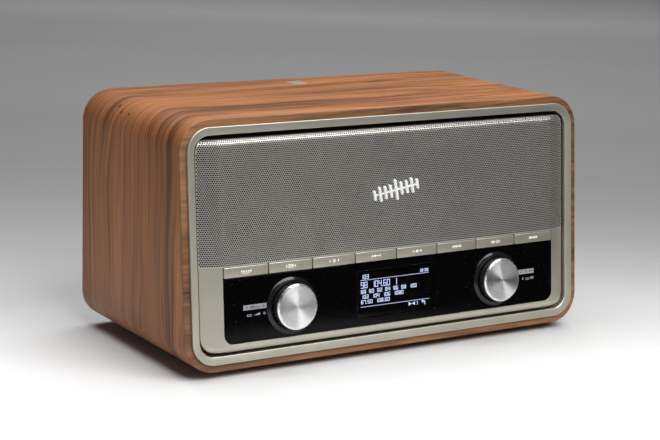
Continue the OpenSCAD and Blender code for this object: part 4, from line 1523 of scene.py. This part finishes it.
@dataclass
class Display:
    """The dark panel with its lens, the lit dots behind it and the printed legends."""

    front: Front
    half: float = 26.3
    upper_rule: float = 45.5
    lower_rule: float = 28.5
    pitch: float = 0.41
    face: float = 2.42
    glow: float = 0.05
    panel_face: float = 5.0
    rule: float = 0.27
    box_middle: float = 38.2
    box_height: float = 3.1
    box_sign: float = 1.7
    under_middle: float = 33.6
    under_sign: float = 1.6
    boxes: tuple[tuple[str, float, float], ...] = (
        ("legend_left", -112.3, -96.1), ("legend_right", 97.4, 110.3))
    rows: tuple[tuple[str, int, int, float, float], ...] = (
        ("98 104.60 1", 5, 9, 1.1, 0.45), ("88 90 92 94 96 98 100", 4, 6, 6.1, 0.41),
        ("102 104 106 1080", 4, 6, 9.4, 0.41), ("87.50 108.00", 4, 6, 12.7, 0.41))
    segments: dict[str, str] = field(default_factory=lambda: {
        "0": "abcdef", "1": "bc", "2": "abged", "3": "abgcd", "4": "fgbc", "5": "afgcd", "6": "afgedc",
        "7": "abc", "8": "abcdefg", "9": "abcdfg", "-": "g", ":": ":", ".": ".", " ": ""})

    def digit(self, sign_name: str, columns: int, rows: int) -> np.ndarray:
        """Dots of a figure in a cell, as a grid of true and false.

        The figure's seven strokes are the cell's three rows and four half columns.

        Args:
            sign_name: the figure.
            columns: width of the cell, in dots.
            rows: height of the cell, in dots.

        Returns:
            The cell, true where a dot is lit.
        """
        cell = np.zeros((rows, columns), bool)
        mid = rows // 2
        strokes = {
            "a": (slice(0, 1), slice(0, columns)), "g": (slice(mid, mid + 1), slice(0, columns)),
            "d": (slice(rows - 1, rows), slice(0, columns)), "f": (slice(0, mid + 1), slice(0, 1)),
            "b": (slice(0, mid + 1), slice(columns - 1, columns)),
            "e": (slice(mid, rows), slice(0, 1)), "c": (slice(mid, rows), slice(columns - 1, columns)),
            ":": (slice(mid - 1, mid + 2, 2), slice(columns // 2, columns // 2 + 1)),
            ".": (slice(rows - 1, rows), slice(columns // 2, columns // 2 + 1)),
        }
        for stroke in self.segments[sign_name]:
            cell[strokes[stroke]] = True
        return cell

    def line(self, text: str, columns: int, rows: int) -> np.ndarray:
        """A row of figures, one empty column apart.

        Args:
            text: the figures.
            columns: width of a figure, in dots.
            rows: height of a figure, in dots.

        Returns:
            The row, true where a dot is lit.
        """
        blank = np.zeros((rows, 1), bool)
        cells = [np.concatenate([self.digit(c, 1 if c in ":." else columns, rows), blank], 1) for c in text]
        return np.concatenate(cells, 1)

    def dots(self, skin: Skin, lit: np.ndarray, x: float, s: float, pitch: float) -> None:
        """Adds one small block for each lit dot; (x, s) is the upper left corner.

        Args:
            skin: what the blocks are added to.
            lit: grid of true and false.
            x: left edge.
            s: upper edge.
            pitch: distance of the dots.
        """
        row, column = np.nonzero(lit)
        corner = np.array([[0, 0], [1, 0], [1, 1], [0, 1]]) * pitch
        flat = np.stack([x + column * pitch, s - (row + 1) * pitch], -1)[:, None] + corner[None]
        low, high = put_on(self.front, flat, self.face), put_on(self.front, flat, self.face + self.glow)
        points = np.concatenate([low, high], 1).reshape(-1, 3)
        sides = np.array([[3, 2, 1, 0], [4, 5, 6, 7], [0, 1, 5, 4], [1, 2, 6, 5], [2, 3, 7, 6], [3, 0, 4, 7]])
        faces = (np.arange(len(row))[:, None, None] * 8 + sides[None]).reshape(-1, 4)
        skin.add(points, faces)

    def lit(self) -> bpy.types.Object:
        """The lit dots: clock, channel, two rules, a row of large figures, three of small ones, two signs.

        Returns:
            The piece.
        """
        skin, p = Skin(), self.pitch
        left = -self.half
        for s in (self.upper_rule, self.lower_rule):
            raised(skin, self.front, bar(0, s, 2 * self.half, self.rule), self.face, self.face + self.glow)
        self.dots(skin, self.line("103", 4, 7), left + 0.6, self.upper_rule + 8.6 * p, p)
        clock = self.line("12:30", 3, 5)
        self.dots(skin, clock, self.half - clock.shape[1] * p, self.upper_rule + 7 * p, p)
        for text, columns, rows, below, pitch in self.rows:
            self.dots(skin, self.line(text, columns, rows), left + 0.3, self.upper_rule - below, pitch)
        low = self.lower_rule - 4.8 * p
        for ring in (triangle(11.5, low, 2.4), triangle(14.0, low, -2.4), triangle(21.8, low + 0.7, 2.2),
                     bar(22.9, low - 0.5, 0.7, 2.2), hoop(16.0, low, 1.5, 0.4, -60, 60)):
            raised(skin, self.front, ring, self.face, self.face + self.glow)
        return skin.build("display_dots", [DOTS])

    def legends(self) -> None:
        """The printed boxes beside the knobs and the plain signs in and below them."""
        top = self.panel_face
        within = ((Mark.POWER, Mark.LINES, Mark.DOTS, Mark.POWER), (Mark.TICK, Mark.RING, Mark.ARROW))
        below = ((Mark.DOTS, Mark.WEDGE, Mark.RING), (Mark.MOON, Mark.DOTS, Mark.LINES))
        for (name, x0, x1), marks, under in zip(self.boxes, within, below):
            skin = Skin()
            box = bar((x0 + x1) / 2, self.box_middle, x1 - x0, self.box_height)
            raised(skin, self.front, box, top, top + INK_HEIGHT)
            for mark, x in zip(marks, np.linspace(x0 + 2.4, x1 - 2.4, len(marks))):
                for ring in sign(mark, x, self.box_middle, self.box_sign):
                    raised(skin, self.front, ring, top, top + 2 * INK_HEIGHT, 1)
            for mark, x in zip(under, np.linspace(x0 + 4.0, x1 - 1.6, len(under))):
                for ring in sign(mark, x, self.under_middle, self.under_sign):
                    raised(skin, self.front, ring, top, top + INK_HEIGHT, 2)
            keep(skin.build(name, [GREYINK, DARKINK, FAINTINK]), "cabinet", GREYINK)

    def build(self) -> None:
        """Makes dots and legends and dresses panel, lens and module."""
        keep(self.lit(), "cabinet", DOTS)
        self.legends()
        dress(PANEL, "control_panel")
        soften(0.2, "control_panel")
        dress(LENS, "display_lens")
        dress(GlossPanel("display_face", "dark_panel", rough=0.3, shine=0.04), "display_module")


@dataclass
class KeyRow:
    """Eight satin keys, each with its printed sign, on their own bodies."""

    front: Front
    height: float = 6.4
    low: float = 57.45
    face: float = 5.25
    depth: float = 2.6
    bevel: float = 0.4
    stem: Triple = (18.0, 2.6, 5.2)
    sign_size: float = 2.2
    tick_place: float = 3.1
    tick_size: tuple[float, float] = (0.7, 1.5)
    marks: dict[str, Mark] = field(default_factory=lambda: {
        "mode": Mark.DOTS, "menu": Mark.LINES, "info": Mark.RING, "back": Mark.ARROW, "preset": Mark.STAR,
        "previous": Mark.PREVIOUS, "play": Mark.PLAY, "next": Mark.NEXT})

    def cap(self, name: str) -> bpy.types.Object:
        """One key: a bevelled section carried round its outline, closed by its face, and its stem.

        Args:
            name: name of the key.

        Returns:
            The piece.
        """
        low, high = box_mm("key_" + name)
        middle, width = (low[0] + high[0]) / 2, high[0] - low[0]
        ring = Outline.rounded(width, self.low, self.low + self.height, self.bevel + 0.15, 3)
        b = self.bevel
        section = np.array([[0, self.face - self.depth], [0, self.face - b], [0.12 * b, self.face - 0.5 * b],
                            [0.5 * b, self.face - 0.12 * b], [b, self.face]])
        flat = ring.inset(section[:, 0]) + [middle, 0]
        grid = put_on(self.front, flat, np.broadcast_to(section[:, 1], flat.shape[:2]))
        skin = Skin()
        skin.grid(grid, (True, False))
        skin.cap(grid[:, -1])
        skin.cap(grid[::-1, 0])
        wide, tall, deep = self.stem
        top = self.face - self.depth
        raised(skin, self.front, bar(middle, self.low + self.height / 2, wide, tall), top - deep, top)
        return skin.build("cap_" + name, [KEYMETAL])

    def build(self) -> None:
        """Makes the caps and their signs."""
        for name, mark in self.marks.items():
            body = f"key_{name}_body"
            piece = keep(self.cap(name), body, KEYMETAL, "key_" + name)
            across = np.array([vertex.co.x for vertex in piece.data.vertices])
            middle = (across.min() + across.max()) / 2 / MM
            skin = Skin()
            s = self.low + self.height / 2
            for ring in sign(mark, middle, s, self.sign_size):
                raised(skin, self.front, ring, self.face, self.face + INK_HEIGHT)
            for k in (-1, 1):
                tick = bar(middle + k * self.tick_place, s, *self.tick_size)
                raised(skin, self.front, tick, self.face, self.face + INK_HEIGHT)
            keep(skin.build("sign_" + name, [INK]), body, INK)
        dress(MATT, "key_carrier")
        dress(BOARD, "front_board")
        dress(BLACK, "key_switches")


@dataclass
class Knob:
    """One knob: spun cap with a cut rim, dark polished skirt and the ring round its foot."""

    front: Front
    name: str
    x: float
    s: float = 36.15
    radius: float = 14.2
    top: float = 13.0
    bottom: float = 6.2
    cap: float = 1.25
    rim: float = 0.95
    wall: float = 2.2
    web: float = 1.6
    hub: float = 5.6
    hub_foot: float = 2.2
    bore: float = 3.0
    ring_in: float = 14.6
    ring_out: float = 17.8
    ring_rise: float = 1.1
    ring_edge: float = 0.35
    base: float = 5.0
    index: bool = False

    def build(self) -> None:
        """Makes cap, skirt and, on the knob that has one, the index stud."""
        centre, r, top = (self.x, self.s), self.radius, self.top
        face_r = r - self.rim
        skin = Skin()
        radii = np.linspace(0, face_r, 26)
        dish = 0.05 * (radii / face_r) ** 2 - 0.05
        turned(skin, self.front, centre, np.stack([radii, top + dish], -1))
        side = np.array([[face_r, top], [face_r + 0.12, top - 0.03], [r - 0.12, top - self.rim + 0.14],
                         [r, top - self.rim - 0.02], [r, top - self.cap + 0.25], [r - 0.25, top - self.cap],
                         [r - 3.0, top - self.cap], [0, top - self.cap]])
        turned(skin, self.front, centre, side, 1)
        body = self.name + "_knob"
        face = skin.build(self.name + "_face", [SPUN, RIM], FINE_FOLD)
        keep(face, body, SPUN, self.name + "_cap")
        under = top - self.cap
        skirt = np.array([[self.bore, under - 0.02], [r - 0.5, under - 0.02], [r - 0.35, under - 0.06],
                          [r - 0.3, under - 0.2], [r, under - 0.75], [r, self.bottom + 0.6],
                          [r - 0.1, self.bottom + 0.2], [r - 0.5, self.bottom],
                          [r - self.wall, self.bottom], [r - self.wall, under - self.web],
                          [self.hub, under - self.web], [self.hub, self.bottom + self.hub_foot],
                          [self.bore, self.bottom + self.hub_foot]])
        skin = Skin()
        turned(skin, self.front, centre, skirt, closed=True)
        grip = skin.build(self.name + "_grip", [DARKPOLISH], FINE_FOLD)
        keep(grip, body, DARKPOLISH, self.name + "_skirt")
        if self.index:
            self.stud(body)

    def stud(self, body: str) -> None:
        """A small dished stud let into the skirt: profile (r, d) turned about a line along -x.

        Args:
            body: the body it rides on.
        """
        middle = (self.bottom + self.top - self.cap) / 2
        a = np.linspace(0, 2 * np.pi, 24, endpoint=False)[:, None]
        profile = np.array([[0.0, 0.0], [0.7, 0.06], [0.95, 0.16], [1.1, 0.1], [1.15, -0.4], [0.0, -0.4]])
        r, d = profile[None, :, 0], profile[None, :, 1]
        across = self.x - self.radius - d + 0 * a
        local = np.stack([across, self.s + r * np.cos(a), middle + r * np.sin(a)], -1)
        skin = Skin()
        skin.grid(self.front.place(local), (True, False))
        keep(skin.build(self.name + "_index", [BLACKED]), body, BLACKED)


@dataclass
class Knobs:
    """Both knobs, their foot rings and what turns inside them."""

    front: Front
    half: float = 78.3
    s: float = 36.15

    def build(self) -> None:
        """Makes the knobs and the rings and dresses the inner parts."""
        left = Knob(self.front, "volume", -self.half, self.s, index=True)
        right = Knob(self.front, "select", self.half, self.s)
        skin = Skin()
        for knob in (left, right):
            knob.build()
            a, b, base, rise = knob.ring_in, knob.ring_out, knob.base, knob.ring_rise
            crown = [(a, base), (a, base + rise), (a + rise, base + rise), (b, base + knob.ring_edge),
                     (b, base)]
            section = softened(crown, 0.3, 3)
            turned(skin, self.front, (knob.x, knob.s), section, closed=True)
        keep(skin.build("foot_rings", [RINGPOLISH], FINE_FOLD), "cabinet", RINGPOLISH, "knob_rings")
        dress(ZINC, "encoders", "encoder_nuts", "volume_spindle", "select_spindle")
        dress(BLACK, "volume_plunger", "select_plunger")


@dataclass
class Emblem:
    """Nine plated bars whose heights follow a wave, on one thin crossbar."""

    front: Front
    s: float = 101.25
    base: float = 5.0
    pitch: float = 4.1
    half_width: float = 0.95
    tilt: float = 9.0
    height: float = 1.6
    upright: float = 0.7
    cross: tuple[float, float] = (1.0, 0.8)
    lowest: float = 1.7
    swell: float = 4.1
    wave: float = 62.0
    side_bars: int = 4

    def turned_flat(self, flat: np.ndarray) -> np.ndarray:
        """Turns flat points by the tilt and moves them to the emblem's place.

        Args:
            flat: points about the emblem's middle.

        Returns:
            The points on the front, as (x, s).
        """
        a = math.radians(self.tilt)
        turn = np.array([[math.cos(a), math.sin(a)], [-math.sin(a), math.cos(a)]])
        return flat @ turn + [0, self.s]

    def build(self) -> None:
        """Each bar: a stadium whose section rises as a quarter ellipse from its edge."""
        skin, t = Skin(), np.radians(np.linspace(0, 82, 7))
        for i in range(-self.side_bars, self.side_bars + 1):
            swing = abs(math.cos(math.radians(i * self.wave)))
            half = self.lowest + self.swell * swing * (1 - abs(i) / 7) + self.half_width
            ring = Outline.rounded(2 * self.half_width, -half, half, self.half_width - 0.01, 8)
            depths = np.concatenate([[0], self.half_width * (1 - np.cos(t))])
            levels = np.concatenate([[0], self.upright + (self.height - self.upright) * np.sin(t)])
            flat = self.turned_flat(ring.inset(depths) + [i * self.pitch, 0])
            grid = put_on(self.front, flat, np.broadcast_to(self.base + levels, flat.shape[:2]))
            skin.grid(grid, (True, False))
            skin.cap(grid[:, -1])
            skin.cap(grid[::-1, 0])
        width, height = self.cross
        cross = self.turned_flat(bar(0, 0, 2 * self.side_bars * self.pitch, width))
        raised(skin, self.front, cross, self.base, self.base + height)
        keep(skin.build("emblem_bars", [PLATED]), "cabinet", PLATED, "emblem")


# ---------------------------------------------------------------- inside and back


@dataclass
class Inside:
    """Drivers, boards and what is fixed to them, seen only through openings."""

    sides: tuple[str, str] = ("left", "right")

    def build(self) -> None:
        """Dresses every inner solid."""
        for side in self.sides:
            dress(BLACKED, side + "_frame")
            dress(ZINC, side + "_magnet")
            dress(PAPER, side + "_cone")
            dress(RUBBER, side + "_surround")
        dress(ZINC, "driver_screws", "radio_can")
        dress(BOARD, "main_board")
        dress(BRASS, "board_posts")
        dress(BLACKED, "heat_sink")


@dataclass
class Back:
    """The rear panel with its port, sockets and screws, and the telescopic aerial."""

    tubes: tuple[str, ...] = ("aerial_knuckle", "aerial_sleeve", "aerial_middle", "aerial_tip")

    def build(self) -> None:
        """Dresses the solids of the back."""
        dress(BLACK, "rear_panel", "power_inlet", "audio_sockets", "aerial_base")
        dress(Moulded("port_plastic", "black_plastic", rough=0.35, stipple=500.0), "bass_port")
        dress(BLACKED, "rear_screws")
        dress(CHROME, *self.tubes)
        soften(0.4, "rear_panel")
        soften(0.25, "power_inlet", "audio_sockets")


# ---------------------------------------------------------------- studio


@dataclass(frozen=True)
class PaintedLightFloor(Finish):
    """Floor whose tone is painted light and shade: pale under and before the object, greyer behind it and far
    to the side, dark at its far front.
    """

    azimuth: float = -32.6384
    reach: float = 2.9
    start: float = -0.45
    front_dark: float = -0.335
    front_pale: float = -0.287
    side_pale: float = 0.228
    side_dark: float = 0.34
    side_slant: float = 0.16
    # painted light: floor tones by distance away, standing in for the fall-off of the lamps' light
    stops: tuple[tuple[float, float], ...] = (
        (-0.24, 0.66), (-0.15, 0.66), (-0.05, 0.585), (0.03, 0.475), (0.10, 0.395), (0.18, 0.312),
        (0.28, 0.248), (0.40, 0.210), (0.55, 0.198), (0.8, 0.218), (1.2, 0.318), (1.5, 0.43),
        (1.75, 0.59), (1.95, 0.85), (2.3, 1.0))

    def compose(self, recipe: Recipe) -> None:
        """Painted light and shade: tone by the distance away along the grading, darker far in front and far
        to the side.

        Args:
            recipe: the material's nodes.
        """
        place = recipe.where(Source.OBJECT)
        turn = math.radians(self.azimuth)
        way = (-math.sin(turn), math.cos(turn), 0.0)
        away = recipe.node("VectorMath", {0: place, 1: way}, "Value", operation="DOT_PRODUCT")
        share = recipe.node("MapRange", {"Value": away, "From Min": self.start,
                                         "From Max": self.start + self.reach})
        stops = [((at - self.start) / self.reach, (tone, tone, tone)) for at, tone in self.stops]
        over = recipe.node("SeparateXYZ", {0: place}, "Y")
        pale = recipe.span(over, self.front_dark, self.front_pale)
        cross = (math.cos(turn) - self.side_slant * way[0], math.sin(turn) - self.side_slant * way[1], 0.0)
        beside = recipe.node("VectorMath", {0: place, 1: cross}, "Value", operation="DOT_PRODUCT")
        pale = recipe.math("MULTIPLY", pale, recipe.span(beside, self.side_pale, self.side_dark, 1.0, 0.0))
        # the floor's tone is painted light and shade, not a colour of its own
        tone = recipe.mix(pale, (0.02, 0.02, 0.02), recipe.ramp(share, stops))
        recipe.shade(Base_Color=tone, Roughness=0.8, Specular_IOR_Level=0.1)


@dataclass
class Lamp:
    """A soft rectangular light."""

    name: str
    place: Triple
    aim: Triple
    size: tuple[float, float]
    power: float
    colour: Colour = (1.0, 1.0, 1.0)

    def build(self) -> None:
        """Makes the light and points it at its aim."""
        data = bpy.data.lights.new(self.name, "AREA")
        data.shape = "RECTANGLE"
        data.size, data.size_y = self.size
        data.energy, data.color = self.power, self.colour
        lamp = bpy.data.objects.new(self.name, data)
        bpy.context.scene.collection.objects.link(lamp)
        lamp.location = self.place
        lamp.rotation_euler = (Vector(self.aim) - Vector(self.place)).to_track_quat("-Z", "Y").to_euler()


@dataclass
class Studio:
    """Floor, soft lights and the camera."""

    front: Front
    azimuth: float = -32.6384
    elevation: float = 12.45
    roll: float = 1.9199
    distance: float = 1121.25
    target: tuple[float, float] = (-51.5, 87.3)
    lens: float = 99.33
    ambient: float = 0.05
    sky: Colour = (0.9, 0.93, 1.0)
    floor_half: float = 9.0
    floor_steps: int = 24
    lamps: tuple[Lamp, ...] = (
        Lamp("key_soft", (0.13, -0.98, 1.12), (0.0, 0.0, 0.08), (1.3, 1.0), 30.0),
        Lamp("overhead", (0.12, 0.40, 1.30), (0.0, 0.15, 0.05), (1.5, 1.3), 23.0),
        Lamp("left_fill", (-1.5, -0.7, 0.22), (0.0, 0.0, 0.05), (1.0, 0.6), 1.4),
    )

    def floor(self) -> None:
        """A wide flat sheet under the object."""
        steps = np.linspace(-1, 1, self.floor_steps + 1) * self.floor_half
        x, y = np.meshgrid(steps, steps, indexing="ij")
        skin = Skin()
        skin.grid(np.stack([x, y, 0 * x], -1) / MM)
        piece = skin.build("studio_floor", [PaintedLightFloor("studio_floor_painted_light", "none")])
        piece.data.flip_normals()

    def camera(self) -> None:
        """Places the camera by its turn round the object, its height and its roll."""
        az, el, roll = (math.radians(a) for a in (self.azimuth, self.elevation, self.roll))
        back = Vector((math.sin(az) * math.cos(el), -math.cos(az) * math.cos(el), math.sin(el)))
        right = (-back).cross(Vector((0, 0, 1))).normalized()
        up = right.cross(-back)
        side = math.cos(roll) * right + math.sin(roll) * up
        above = -math.sin(roll) * right + math.cos(roll) * up
        x, z = self.target
        aim = Vector((x, self.front.y, self.front.z + z)) * MM
        data = bpy.data.cameras.new("camera")
        data.sensor_width, data.sensor_fit, data.lens = 36.0, "HORIZONTAL", self.lens
        data.clip_start, data.clip_end = 0.05, 60.0
        camera = bpy.data.objects.new("camera", data)
        bpy.context.scene.collection.objects.link(camera)
        turn = Matrix((side, above, back)).transposed()
        camera.matrix_world = Matrix.Translation(aim + back * self.distance * MM) @ turn.to_4x4()
        bpy.context.scene.camera = camera

    def world(self) -> None:
        """Even, dim surroundings."""
        scene = bpy.context.scene
        scene.world = bpy.data.worlds.new("surroundings")
        scene.world.use_nodes = True
        shade = scene.world.node_tree.nodes["Background"]
        shade.inputs[0].default_value = (*self.sky, 1.0)
        shade.inputs[1].default_value = self.ambient
        scene.view_settings.view_transform = "Standard"

    def build(self) -> None:
        """Makes floor, lights, surroundings and camera."""
        self.floor()
        for lamp in self.lamps:
            lamp.build()
        self.world()
        self.camera()


def main() -> None:
    """Builds every sub-assembly in order and reports the pieces."""
    logging.basicConfig(level=logging.INFO, format="%(name)s %(message)s")
    front = Front.of_frame()
    insert = Insert(front)
    parts = (Cabinet(front), Surround(insert), Grille(insert), Display(front), KeyRow(front), Knobs(front),
             Emblem(front), Inside(), Back(), Studio(front))
    for part in parts:
        part.build()
        LOG.info("%s done", type(part).__name__)


if __name__ == "__main__":
    main()
